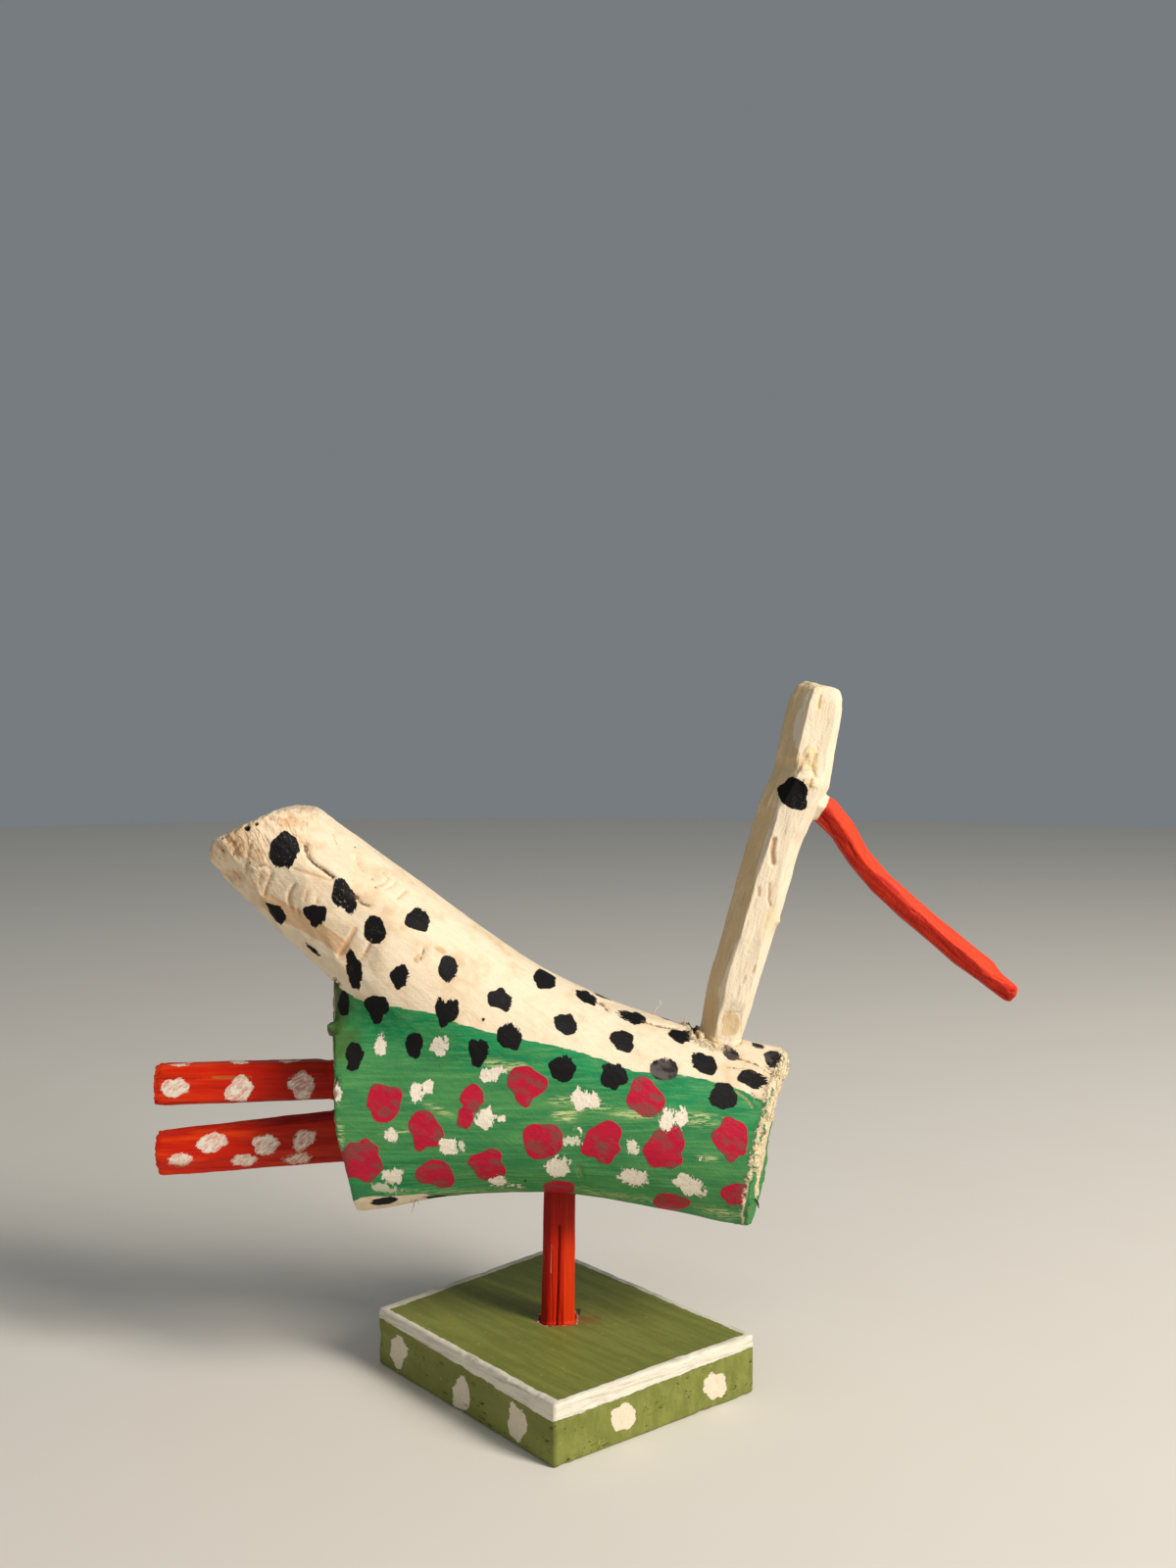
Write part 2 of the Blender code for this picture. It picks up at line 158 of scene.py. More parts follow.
WHITE_DABS = dabs(
    (388.8, 1067, 6, 9.5), (448, 1068, 8, 10, 20, -20), (457.6, 1063.5, 1.5, 3),
    (498.2, 1097.8, 9, 8, 30), (509.9, 1092, 5.5, 4.5), (343.2, 1114.4, 5, 10.5),
    (424.5, 1114.4, 6.5, 10, 0, 20), (436.9, 1109.4, 5.5, 8), (398.8, 1158.3, 7.5, 6, 40),
    (495, 1141.8, 9.5, 10), (511.5, 1141.8, 5, 3.5), (500.7, 1129.3, 2, 2.5),
    (457.6, 1170, 9.5, 8.5, 20), (470.9, 1170, 4, 5, 0, 0, 0.5),
    (401.2, 1201.5, 10.5, 7.5, 0, -90), (392, 1213, 13, 4.5, 10, 0, 0.7), (509, 1206.4, 9, 5.5),
    (524, 1210.5, 8, 1.2, 8), (569, 1190.7, 12.5, 10, 0, -60), (592.3, 1122, 9, 11.5, 0, -100),
    (605.6, 1123.6, 6, 9.5, 0, -40), (681, 1142.6, 8, 12, 0, -120), (695.2, 1141, 6, 10.5, 0, -60),
    (583.2, 1164.2, 9, 5, 0, 0, 0.4), (645.4, 1170.8, 9, 5.5, 50, 0, 0.3),
    (646.2, 1201.5, 15, 8.5, 10, -90), (703.5, 1209.8, 16, 10, 24, 0), (715, 1182.5, 4, 2),
    (589.9, 1152.6, 4, 2.2, 30),
)

# Where the green is rubbed thin and the cream under it shows
THIN_GREEN = dabs(
    (449, 1133, 13, 2.5, 24), (506, 1086, 11, 5, 10), (527, 1091, 16, 6, 14),
    (572, 1124, 12, 5), (577, 1138, 14, 7), (600, 1128, 24, 5, 10), (640, 1137, 22, 4, 8),
    (708, 1141, 24, 6, 6), (627, 1220, 42, 3, 8), (408, 1155, 12, 3), (733, 1238, 24, 4, 14),
    (346, 1160, 5, 14), (722, 1181, 7, 2.5, 10), (470, 1216, 50, 2.5),
)
MOSSY_GREEN = dabs((344, 1046, 14, 34, 8), (352, 1062, 14, 18, 0), (346, 1016, 9, 10, 20))

# Where the wood is torn: the rim round the neck's foot, and two corners of the breast
TORN_RIM = dabs(
    (704, 1046, 10, 4.5, 15), (714, 1056, 12, 8, 40), (726, 1064, 10, 6, 30),
    (736, 1067, 7, 3, 20),
)
TORN_CORNERS = dabs((752, 1240, 24, 12, 8), (796, 1082, 14, 20, -20))
NUB = (338, 1047)
# Fine hairs and splinters that stand off the body: pixels, and the radius in millimetres at the root
SPLINTERS = [
    ([(667, 1034), (670, 1028), (675, 1024), (674, 1019)], 0.30),
    ([(700, 1046), (698, 1040), (701, 1037)], 0.25),
]
HAIRS = [
    ([(425, 1224), (422, 1230), (420, 1237)], 0.10), ([(424, 1224), (428, 1229)], 0.08),
    ([(419, 1224), (424, 1232)], 0.07), ([(772, 1221), (775, 1227), (776, 1232)], 0.45),
]

# The upper edge of the green, from the crotch to the breast
GREEN_EDGE = [
    (330, 1000), (341, 1004), (365, 1020), (398, 1026), (441, 1034), (467, 1044), (506, 1055), (533, 1061),
    (570, 1068), (594, 1074), (617, 1082), (649, 1094), (692, 1096), (715, 1100), (753, 1111), (781, 1125),
]
# How far under the belly the green reaches: the normal's drop in degrees at pixels across
GREEN_UNDER = [(380, 41.0), (432, 50.0), (480, 77.0)]

# Bare, tan wood: flats that the knife left, and scratches
BARE_FLATS = dabs(
    (241, 862, 14, 9, 60, None, 1.0), (262, 872, 9, 6, 0, None, 1.0),
    (296, 838, 12, 6, -10, None, 1.0), (427, 976, 6, 2.5, -60), (450, 969, 6, 3, 30),
    (370, 973, 8, 1.5, -45), (361, 986, 4, 3),
)
# The longest of those flats: its middle line, and its half width in pixels
BARE_BAND = [(272, 922), (300, 939), (325, 953), (348, 968)]
BARE_BAND_WIDTH = 8.5
CRACKS = [
    ([(312, 862), (313, 871), (320, 880), (331, 888), (340, 895)], 1.5, 1.6),
    ([(363, 914), (369, 921), (377, 924)], 1.6, 0.9), ([(608, 1021), (616, 1025), (620, 1031)], 0.9, 0.7),
    ([(655, 1041), (674, 1047), (690, 1049)], 0.7, 0.6),
    ([(336, 1006), (341, 1001), (346, 1005)], 1.2, 0.8),
    ([(780, 1086), (792, 1096), (800, 1104)], 0.8, 0.5),
    ([(766, 1114), (778, 1128), (786, 1143)], 0.8, 0.5), ([(433, 968), (429, 979)], 1.2, 0.6),
    ([(752, 1079), (772, 1086), (792, 1100)], 0.6, 0.3),
    ([(742, 1089), (760, 1090), (784, 1100)], 0.5, 0.25),
    ([(704, 1042), (709, 1048), (712, 1056)], 1.8, 1.2), ([(724, 1062), (730, 1068)], 0.8, 0.6),
    ([(708, 1052), (714, 1062)], 0.7, 0.6), ([(338.5, 1064), (338, 1100), (340, 1140)], 0.3, 0.3),
    ([(349, 1196), (353, 1210), (357, 1221)], 1.2, 0.8),
    ([(716, 1051), (725, 1060), (737, 1063)], 1.2, 0.9),
]
# Knife nicks and wrinkles on the stub
NICKS = [
    ([(277.5, 891), (273, 902), (269.7, 913)], 1.2, 0.7), ([(266.5, 889), (265, 902)], 1.0, 0.35),
    ([(300.5, 903), (295, 911), (294.5, 918), (297, 926)], 1.5, 0.75), ([(314, 909), (311, 919)], 1.3, 0.5),
    ([(325, 914), (323, 922)], 1.2, 0.45), ([(362.5, 948), (357, 958), (346, 975)], 2.2, 0.75),
    ([(376.5, 966), (371, 976), (367, 981)], 1.0, 0.5), ([(304, 926), (305, 932)], 1.0, 0.5),
    ([(258, 857), (254, 867), (253, 873)], 1.3, 0.6), ([(252, 877), (250.5, 892)], 1.0, 0.6),
    ([(246, 862), (239, 870)], 1.1, 0.7), ([(250, 866), (242, 873)], 1.0, 0.6),
    ([(240, 858), (234, 866)], 0.9, 0.5), ([(236, 855), (231, 862)], 0.9, 0.5),
    ([(262, 884), (270, 883), (276, 887)], 1.0, 0.5), ([(256, 880), (262, 886)], 0.9, 0.5),
    ([(297, 846), (299, 851), (303, 852)], 0.9, 0.6), ([(303, 856), (309, 860), (314, 862)], 0.9, 0.6),
    ([(290, 836), (293, 843)], 0.9, 0.5), ([(391, 890), (397, 896), (390, 903), (386, 903)], 0.9, 0.45),
    ([(404, 899), (402, 904), (393, 908)], 0.8, 0.35), ([(415, 909), (406, 917)], 1.2, 0.45),
    ([(364, 874), (366, 883), (371, 889)], 0.8, 0.4), ([(340, 851), (344, 862)], 0.8, 0.3),
    ([(379, 958), (372, 974)], 0.8, 0.35), ([(300, 886), (322, 893), (338, 898)], 1.6, 0.45),
    ([(752, 1114), (762, 1121), (768, 1130)], 1.4, 0.5),
    ([(590, 1190), (592, 1196), (594, 1202)], 1.1, 0.6),
]
# Scratches that the paint has run over
SCRATCHES = [([(478, 1055), (498, 1080), (520, 1096)], 0.8, 0.25), ([(486, 1052), (512, 1080)], 0.7, 0.2)]
# Worm holes and lost knots: centre, radius and depth in millimetres
HOLES = [
    (252, 845, 3.2, 1.8), (261.8, 840.5, 2.2, 1.4), (226.5, 855.5, 1.4, 1.0), (253.6, 881, 1.2, 0.9),
    (227, 868, 1.0, 0.8), (362.5, 863.5, 1.0, 0.8), (380, 896.5, 1.3, 0.9), (360, 988, 2.5, 0.8),
    (709, 1048, 2.8, 1.6), (384, 905, 1.2, 0.7), (786, 1162, 2.0, 1.0), (238, 872, 1.2, 0.8),
    (341, 1000, 2.4, 1.5),
]
# Flats that the knife left on the stub: a pixel, the depth in millimetres and the half length
STUB_FLATS = [
    (308, 940, 1.3, 0.020), (352, 962, 1.1, 0.014), (326, 918, 0.9, 0.010), (284, 905, 1.0, 0.010),
    (362, 942, 0.8, 0.011), (330, 865, 0.6, 0.014), (395, 905, 0.5, 0.016), (240, 895, 1.1, 0.011),
    (258, 922, 1.0, 0.012), (318, 975, 0.9, 0.016), (372, 915, 0.5, 0.010),
]

# Where the breast's torn upper corner is worn off, and the way the wear faces
BREAST_CORNER = (798, 1069)
BREAST_CORNER_WAY = np.array([0.80, 0.0, 0.60])

# How deep the far side of the breast's sawn face is hollowed, and at what height
BREAST_HOLLOW = 0.0020
BREAST_HOLLOW_HEIGHT = 0.0765

EYE = Dab(810, 810, 15.8, 15.8, 0, 50, 0.3)
NECK_SLITS = [
    ([(790, 857), (788, 868), (789, 881)], 2.6, 1.1), ([(837, 710), (835, 722)], 0.9, 0.5),
    ([(774, 906), (774, 914)], 1.4, 0.4), ([(785, 902), (784, 918), (786, 925)], 1.1, 0.4),
    ([(822, 772), (818, 780), (813, 788)], 1.3, 0.45), ([(832, 770), (829, 782), (832, 792)], 1.2, 0.4),
    ([(828, 795), (826, 803)], 1.2, 0.4), ([(770, 986), (768, 993)], 1.0, 0.3),
    ([(760, 997), (758, 1003)], 0.9, 0.3), ([(739, 1033), (755, 1033)], 0.4, 0.15),
    ([(756, 1034), (757, 1056)], 0.4, 0.15),
]
NECK_KNOTS = dabs((826, 776, 9, 14, 20), (826, 800, 8, 7), (800, 948, 7, 12, -20, None, 0.5))
NECK_PATCH = dabs((746, 1045, 10.5, 12))
NECK_YELLOW = dabs((785, 938, 6, 13, 20), (838, 719, 5, 8), (833, 701, 11, 7, -10))
# The edge between the neck's left side, darkened with painted shade, and its front
NECK_EDGE = [
    (830, 690), (821, 712), (811, 735), (809, 755), (815, 770), (810, 795), (795, 812), (786, 842),
    (777, 864), (772, 885), (769, 910), (763, 930), (752, 960), (742, 985), (733, 1010), (732, 1034),
    (731, 1062),
]
# Flats that the knife left on the neck: a pixel, the depth in millimetres and the half length
NECK_FLATS = [
    (806, 745, 0.7, 0.017), (829, 735, 0.5, 0.020), (781, 862, 0.6, 0.015), (805, 885, 0.4, 0.013),
    (770, 925, 0.5, 0.014), (752, 985, 0.5, 0.013), (778, 975, 0.4, 0.012), (745, 1040, 0.5, 0.007),
    (840, 760, 0.5, 0.012), (795, 800, 0.4, 0.010), (832, 697, 0.5, 0.006),
]
BEAK_LINE = [(840, 826), (875, 878), (935, 935), (1037, 1013)]
BEAK_PAINT_EDGE = (840, 828)
BEAK_PAINT_WAY = np.array([0.854, 0.0, -0.52])
BEAK_GIRTH = 0.0068
BEAK_NICKS = [
    ([(931, 929), (937, 932), (944, 939)], 1.0, 0.5), ([(866, 860), (872, 872)], 1.2, 0.4),
    ([(905, 900), (916, 910)], 1.0, 0.35), ([(838, 832), (846, 842), (852, 856)], 1.4, 0.4),
    ([(1036, 1008), (1031, 1011)], 1.3, 0.8), ([(1014, 1010), (1027, 1017)], 0.6, 0.4),
    ([(1014, 996), (1024, 1000), (1034, 1008)], 0.7, 0.25),
]
# The ridge of the beak, below which the red is darkened with painted shade
BEAK_RIDGE = [
    (838, 815), (850, 828), (862, 850), (872, 868), (885, 885), (901, 895), (915, 908), (936, 930),
    (953, 945), (972, 963), (986, 972), (996, 982), (1003, 994), (1030, 1006), (1037, 1010),
]

UPPER_TAIL_DABS = dabs(
    (178, 1110, 14, 10, -20, None, 0.3), (244, 1112, 15, 12.5, -20, None, 0.35),
    (308, 1108, 14, 14, -20, 120, 1.0), (183, 1086.5, 8, 1.5), (243, 1083, 8, 2),
    (293, 1082.5, 8, 1.5),
)
LOWER_TAIL_DABS = dabs(
    (216, 1166, 15, 10, -20, 140, 0.3), (271, 1168, 14, 10.5, -25, 110, 0.6),
    (310, 1163, 12, 9.5, -25, 110, 0.9), (184, 1183, 14, 5.5, 0, None, 0.3),
    (249, 1184, 13.5, 5.5, 0, None, 0.4), (304, 1182.5, 14, 5, -5, None, 0.9),
)
TAIL_CRACKS = [([(160, 1101), (215, 1100)], 0.4, 0.2), ([(158, 1124), (200, 1126)], 0.4, 0.2)]
UPPER_TAIL_STREAKS = [([(217, 1099.5), (256, 1099.5)], 0.8, 0.0)]
LOWER_TAIL_STREAKS = [([(180, 1190), (188, 1190)], 0.5, 0.0)]
LEG_CRACKS = [
    ([(570.5, 1252), (569.8, 1290), (569, 1320), (567.6, 1354)], 0.7, 0.7),
    ([(563.5, 1280), (564, 1350)], 0.2, 0.2),
]
LEG_SLIVER = [([(562.8, 1270), (562.3, 1299)], 0.4, 0.0)]
# The arrises of the leg, left of which is painted shade and right of which is painted light
LEG_LEFT_EDGE = [(563, 1200), (562, 1300), (561, 1360)]
LEG_RIGHT_EDGE = [(577, 1200), (576, 1300), (575, 1360)]

# The board: white dots on its sides, and the white line's width below each top corner
BOARD_DOTS = dabs(
    (406.5, 1379, 8.5, 16.5, 0, 90), (470.5, 1423.5, 9.5, 16, 0, 90), (527.5, 1452, 9, 18.5, -4),
    (636, 1446.5, 13, 14, 0, 180), (730, 1414.5, 12.5, 13.5, 0, 90),
)
BAND_LEFT = 0.0034
BAND_FRONT = 0.0054
BAND_RIGHT = 0.0040
BAND_BACK = 0.0040
# The same line's width on the top, along the edge that leaves each of those corners
TOP_LINES = (0.0016, 0.0017, 0.0028, 0.0036)
BOARD_STAINS = dabs((597, 1347, 10, 4))
BOARD_CRUMBS = dabs((590, 1338, 2.5, 4.5), (551, 1346, 2, 3))
GOUGE_COUNT = 46


def srgb(red, green, blue):
    """A colour given as it looks on a screen, from 0 to 255, as Blender holds it."""
    shares = [value / 255 for value in (red, green, blue)]
    return (*[share / 12.92 if share <= 0.04045 else ((share + 0.055) / 1.055) ** 2.4
              for share in shares], 1.0)


CREAM = srgb(238, 220, 192)
CREAM_DEEP = srgb(214, 186, 148)
TAN = srgb(196, 150, 104)
PEACH = srgb(226, 196, 158)
STRAW = srgb(226, 204, 150)
BROWN = srgb(104, 68, 34)
DARK = srgb(34, 22, 14)
GREEN = srgb(32, 142, 84)
GREEN_LOW = srgb(74, 140, 78)
GREEN_LIGHT = srgb(112, 166, 100)
GREEN_DARK = srgb(18, 112, 70)
MOSS = srgb(66, 92, 40)
PALE_GREEN = srgb(196, 204, 140)
BLACK = srgb(9, 7, 8)
CHARCOAL = srgb(40, 35, 35)
FLECK = srgb(112, 104, 98)
FADED = srgb(98, 92, 88)
MAGENTA = srgb(190, 17, 52)
MAGENTA_DEEP = srgb(152, 24, 52)
MURKY = srgb(124, 70, 64)
DAB_WHITE = srgb(238, 229, 212)
DAB_PINK = srgb(232, 184, 168)
WHITEWASH = srgb(231, 215, 190)
# A tan for the painted shade on the neck's left side, and for the patch at its foot
NECK_SHADE_AND_PATCH_TAN = srgb(208, 180, 134)
RED = srgb(206, 34, 6)
RED_DEEP = srgb(138, 10, 2)
RED_ORANGE = srgb(226, 62, 10)
BEAK_RED = srgb(236, 66, 34)
BEAK_DEEP = srgb(150, 14, 6)
OLIVE = srgb(129, 134, 64)
OLIVE_LIGHT = srgb(143, 147, 76)
OLIVE_DARK = srgb(115, 121, 54)
DOT_CREAM = srgb(226, 215, 190)
LINE_WHITE = srgb(228, 221, 204)
LINE_GREY = srgb(182, 176, 158)
FLOOR = srgb(232, 227, 219)
BACKGROUND = srgb(118, 124, 127)


def facing(rise, swing):
    """A direction raised from +X towards +Z and swung about Z towards +Y, by degrees."""
    up, round_z = math.radians(rise), math.radians(swing)
    return np.array([math.cos(up) * math.cos(round_z), math.cos(up) * math.sin(round_z), math.sin(up)])


def ramp(values, low, high):
    """0 below low and 1 above high, with a smooth rise between them."""
    share = np.clip((values - low) / (high - low), 0.0, 1.0)
    return share * share * (3 - 2 * share)


def hashed(cells, seed):
    """A repeatable random number from -1 to 1 for each cell of a grid."""
    mixed = cells[:, 0] * 73856093 ^ cells[:, 1] * 19349663 ^ cells[:, 2] * 83492791 ^ seed * 2971215073
    mixed = (mixed ^ (mixed >> 13)) * 1274126177
    return ((mixed ^ (mixed >> 16)) & 0xFFFF) / 32767.5 - 1.0


def value_noise(points, size, seed=0):
    """Smooth noise from -1 to 1, with lumps of a size in metres, or of one size for each axis."""
    scaled = points / np.asarray(size) + 500.5
    cell = np.floor(scaled).astype(np.int64)
    share = scaled - cell
    share = share * share * (3 - 2 * share)
    total = np.zeros(len(points))
    for corner in itertools.product((0, 1), repeat=3):
        weight = np.prod(np.where(corner, share, 1 - share), axis=1)
        total += weight * hashed(cell + corner, seed)
    return total


def fractal(points, size, octaves=3, seed=0):
    """Value noise at several sizes, each half the one before."""
    total = np.zeros(len(points))
    for octave in range(octaves):
        total += value_noise(points, np.asarray(size) / 2 ** octave, seed + octave) / 2 ** octave
    return total


def along_grain(points, turn):
    """The points in axes turned about Y, so that the first runs along the grain."""
    angle = math.radians(turn)
    grain = points[:, 0] * math.cos(angle) - points[:, 2] * math.sin(angle)
    across = points[:, 0] * math.sin(angle) + points[:, 2] * math.cos(angle)
    return np.stack([grain, points[:, 1], across], axis=1)


def photo_pixels(points, side):
    """Where the photograph's camera sees each point, or its mirror image for the hidden side."""
    offset = points * (1, side, 1) - CAMERA_PLACE
    ahead = offset[:, 1] * math.cos(CAMERA_DROP) - offset[:, 2] * math.sin(CAMERA_DROP)
    up = offset[:, 1] * math.sin(CAMERA_DROP) + offset[:, 2] * math.cos(CAMERA_DROP)
    return np.stack([0.5 * PHOTO_WIDTH + FOCAL_PIXELS * offset[:, 0] / ahead,
                     0.5 * PHOTO_HEIGHT - FOCAL_PIXELS * up / ahead], axis=1)


def distance_to_path(places, path):
    """How far each place lies from a line through the path's points, in two or three dimensions."""
    best = np.full(len(places), np.inf)
    for start, end in zip(np.asarray(path, float), np.asarray(path, float)[1:]):
        leg = end - start
        share = np.clip((places - start) @ leg / (leg @ leg), 0, 1)
        best = np.minimum(best, np.linalg.norm(places - start - share[:, None] * leg, axis=1))
    return best


def distance_to_node(points, node, reach):
    """How far each point lies from a node, or reach where it is further."""
    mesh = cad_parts[node].data
    tree = BVHTree.FromPolygons([vertex.co for vertex in mesh.vertices],
                                [list(polygon.vertices) for polygon in mesh.polygons])
    found = (tree.find_nearest(Vector(point), reach)[3] for point in points)
    return np.array([reach if gap is None else gap for gap in found])


def read(collection, name, width):
    values = np.empty(len(collection) * width, np.float32)
    collection.foreach_get(name, values)
    return values.reshape(-1, width).astype(float)


class Surface:
    """A fine copy of a node, carved and painted through arrays with an entry for each of its points."""

    def __init__(self, name, node, voxel):
        self.node = node
        self.layers = {}
        shape = bmesh.new()
        shape.from_mesh(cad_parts[node].data)
        bmesh.ops.remove_doubles(shape, verts=shape.verts, dist=0.01 * MILLIMETRE)
        coarse = bpy.data.meshes.new(name + "_coarse")
        shape.to_mesh(coarse)
        shape.free()
        block = bpy.data.objects.new(name + "_coarse", coarse)
        bpy.context.scene.collection.objects.link(block)
        remesh = block.modifiers.new("Fine skin", "REMESH")
        remesh.mode = "VOXEL"
        remesh.voxel_size = voxel
        bpy.context.view_layer.update()
        remeshed = block.evaluated_get(bpy.context.evaluated_depsgraph_get())
        self.mesh = bpy.data.meshes.new_from_object(remeshed)
        bpy.data.objects.remove(block)
        self.mesh.name = name
        self.object = bpy.data.objects.new(name, self.mesh)
        bpy.context.scene.collection.objects.link(self.object)
        self.points = read(self.mesh.vertices, "co", 3)
        self.edges = np.array([edge.vertices for edge in self.mesh.edges])
        self.measure()

    def measure(self):
        """Works out the normals of the points as they now are, and how the photograph sees them."""
        self.mesh.vertices.foreach_set("co", self.points.astype(np.float32).ravel())
        self.mesh.update()
        self.normals = read(self.mesh.vertex_normals, "vector", 3)
        self.pixels = {}
        self.seen = {}
        for side in (FRONT, BACK):
            self.pixels[side] = photo_pixels(self.points, side)
            to_camera = CAMERA_PLACE * (1, side, 1) - self.points
            facing_it = np.sum(self.normals * to_camera, axis=1)
            self.seen[side] = facing_it / np.linalg.norm(to_camera, axis=1)

    def ease(self, rounds, freedom=1.0):
        """Evens the surface out; freedom is the share of the move that each point makes."""
        first, second = self.edges.T
        size = len(self.points)
        count = np.bincount(self.edges.ravel(), minlength=size)
        for _ in range(rounds):
            for axis in range(3):
                values = self.points[:, axis]
                total = np.bincount(first, values[second], size) + np.bincount(second, values[first], size)
                self.points[:, axis] = values + 0.5 * freedom * (total / count - values)
        self.measure()

    def raise_by(self, height):
        """Moves each point out along its normal, by a height in metres."""
        self.points += self.normals * np.asarray(height)[:, None]

    def nearest(self, x, y, side=FRONT):
        """The number of the point that the camera sees nearest to a pixel."""
        apart = np.linalg.norm(self.pixels[side] - (x, y), axis=1)
        apart += SOCKET_WEIGHT * np.linalg.norm(self.points - CAMERA_PLACE * (1, side, 1), axis=1)
        return int(np.argmin(np.where(self.seen[side] > HORIZON, apart, np.inf)))

    def dab(self, mark, side=FRONT):
        """How far outside a brush dab each point lies, in metres, and below 0 inside it."""
        chance = random.Random(round(1000 * mark.x + mark.y) + side)
        turn = math.radians(mark.tilt)
        right, down = (self.pixels[side] - (mark.x, mark.y)).T
        across = (right * math.cos(turn) + down * math.sin(turn)) / mark.wide
        along = (down * math.cos(turn) - right * math.sin(turn)) / mark.tall
        angle = np.arctan2(along, across)
        outline = np.ones(len(angle))
        if mark.narrow is not None:
            outline -= 0.24 * np.cos(angle - math.radians(mark.narrow - mark.tilt))
            outline += 0.12 * np.cos(3 * (angle - math.radians(mark.narrow - mark.tilt)))
        for lobes in (2, 3, 4, 5, 7):
            height = chance.uniform(-0.16, 0.16) / math.sqrt(lobes)
            outline += height * np.cos(lobes * angle + chance.uniform(0, math.tau))
        inside = (np.hypot(across, along) - outline) * min(mark.wide, mark.tall) / PIXELS_PER_METRE
        centre = self.points[self.nearest(mark.x, mark.y, side)]
        reach = 1.7 * max(mark.wide, mark.tall) / PIXELS_PER_METRE
        beyond = np.linalg.norm(self.points - centre, axis=1) - reach
        return np.where(self.seen[side] > HORIZON, np.maximum(inside, beyond), FAR)

    def stroke(self, path, half_width, side=FRONT):
        """The same for a line through pixels of the photograph."""
        apart = distance_to_path(self.pixels[side], path) - half_width
        return np.where(self.seen[side] > HORIZON, apart / PIXELS_PER_METRE, FAR)

    def cover(self, layer, field):
        """Adds a mark to a layer of paint."""
        self.layers[layer] = np.minimum(self.layers.get(layer, FAR), field)

    def heighten(self, layer, values):
        """Raises a layer to the values where they are higher."""
        self.layers[layer] = np.maximum(self.layers.get(layer, 0.0), values)

    def brush(self, layer, marks, side=FRONT, hidden_only=None):
        """Adds brush dabs to a layer, and notes where each is frayed or dry."""
        for mark in marks:
            if hidden_only is not None:
                middle = self.nearest(mark.x, mark.y, side)
                if self.seen[hidden_only][middle] > -0.15:
                    continue
            field = self.dab(mark, side)
            self.cover(layer, field)
            near = 1 - ramp(field, 0.0006, 0.0016)
            self.heighten("dry", near * mark.dry)
            if mark.fray is not None:
                way = math.radians(mark.fray)
                right, down = (self.pixels[side] - (mark.x, mark.y)).T
                lean = (right * math.cos(way) + down * math.sin(way)) / (np.hypot(right, down) + 1.0)
                self.heighten("fray", near * ramp(lean, 0.2, 0.9))
                self.heighten("upright", near * abs(math.sin(way)))

    def beside(self, line, side=FRONT, way=1):
        """How far right of a line, given from its top down, each point lies, or left for a way of -1."""
        across = np.interp(self.pixels[side][:, 1], [y for _, y in line], [x for x, _ in line])
        apart = way * (self.pixels[side][:, 0] - across) / PIXELS_PER_METRE
        return np.where(self.seen[side] > HORIZON, apart, FAR)

    def cut(self, layer, lines, side=FRONT):
        """Carves grooves, each given by its path, half width in pixels and depth in millimetres."""
        for path, half_width, depth in lines:
            field = self.stroke(path, half_width, side)
            self.cover(layer, field)
            self.raise_by(-depth * MILLIMETRE * (1 - ramp(field, -half_width / PIXELS_PER_METRE, 0.0005)))

    def pierce(self, layer, holes, side=FRONT):
        """Sinks small round holes, each given by its pixel, radius in pixels and depth in millimetres."""
        for x, y, radius, depth in holes:
            field = self.stroke([(x, y), (x + 0.01, y)], radius, side)
            self.cover(layer, field)
            self.raise_by(-depth * MILLIMETRE * (1 - ramp(field, -radius / PIXELS_PER_METRE, 0.0003)))

    def shave(self, flats, grain):
        """Cuts flats along the grain on both sides, each given by its pixel, depth and half length."""
        for side, (x, y, depth, half_length) in itertools.product((FRONT, BACK), flats):
            middle = self.nearest(x, y, side)
            normal = self.normals[middle]
            offset = self.points - self.points[middle]
            along = offset @ grain / half_length
            over = offset @ normal + depth * MILLIMETRE * (1 - along ** 2)
            near = np.linalg.norm(offset, axis=1) < 1.2 * half_length
            cut = np.where(near & (over > 0), over, 0.0) * (1 - ramp(np.abs(along), 0.55, 1.0))
            self.points -= cut[:, None] * normal

    def hug(self, node):
        """Swells the surface a little where it enters a socket in another node."""
        gap = distance_to_node(self.points, node, 0.002)
        self.raise_by(SOCKET_SWELL * (1 - ramp(gap, 0.0003, 0.0008)))

    def sprout(self, pixels, radius, dark=False):
        """Adds a tapering splinter that leaves the surface at the first of the pixels."""
        root = self.nearest(*pixels[0])
        steps = np.array([(x - pixels[0][0], 0.0, pixels[0][1] - y) for x, y in pixels]) / PIXELS_PER_METRE
        steps[0] -= 0.6 * MILLIMETRE * self.normals[root]
        shape = bmesh.new()
        shape.from_mesh(self.mesh)
        rings = []
        for number, centre in enumerate(self.points[root] + steps):
            width = radius * MILLIMETRE * (1 - number / len(pixels))
            ring = [centre + (width * math.cos(angle), width * math.sin(angle), 0.0)
                    for angle in np.arange(6) * math.tau / 6]
            rings.append([shape.verts.new(place) for place in ring])
        faces = [shape.faces.new(rings[0]), shape.faces.new(rings[-1])]
        for near, far in zip(rings, rings[1:]):
            for index in range(6):
                after = (index + 1) % 6
                faces.append(shape.faces.new((near[index], near[after], far[after], far[index])))
        bmesh.ops.recalc_face_normals(shape, faces=faces)
        shape.to_mesh(self.mesh)
        shape.free()
        added = read(self.mesh.vertices, "co", 3)[len(self.points):]
        self.points = np.vstack([self.points, added])
        for layer, values in self.layers.items():
            self.layers[layer] = np.append(values, np.full(len(added), values[root]))
        if dark:
            self.layers["hole"][-len(added):] = -MILLIMETRE
        self.measure()

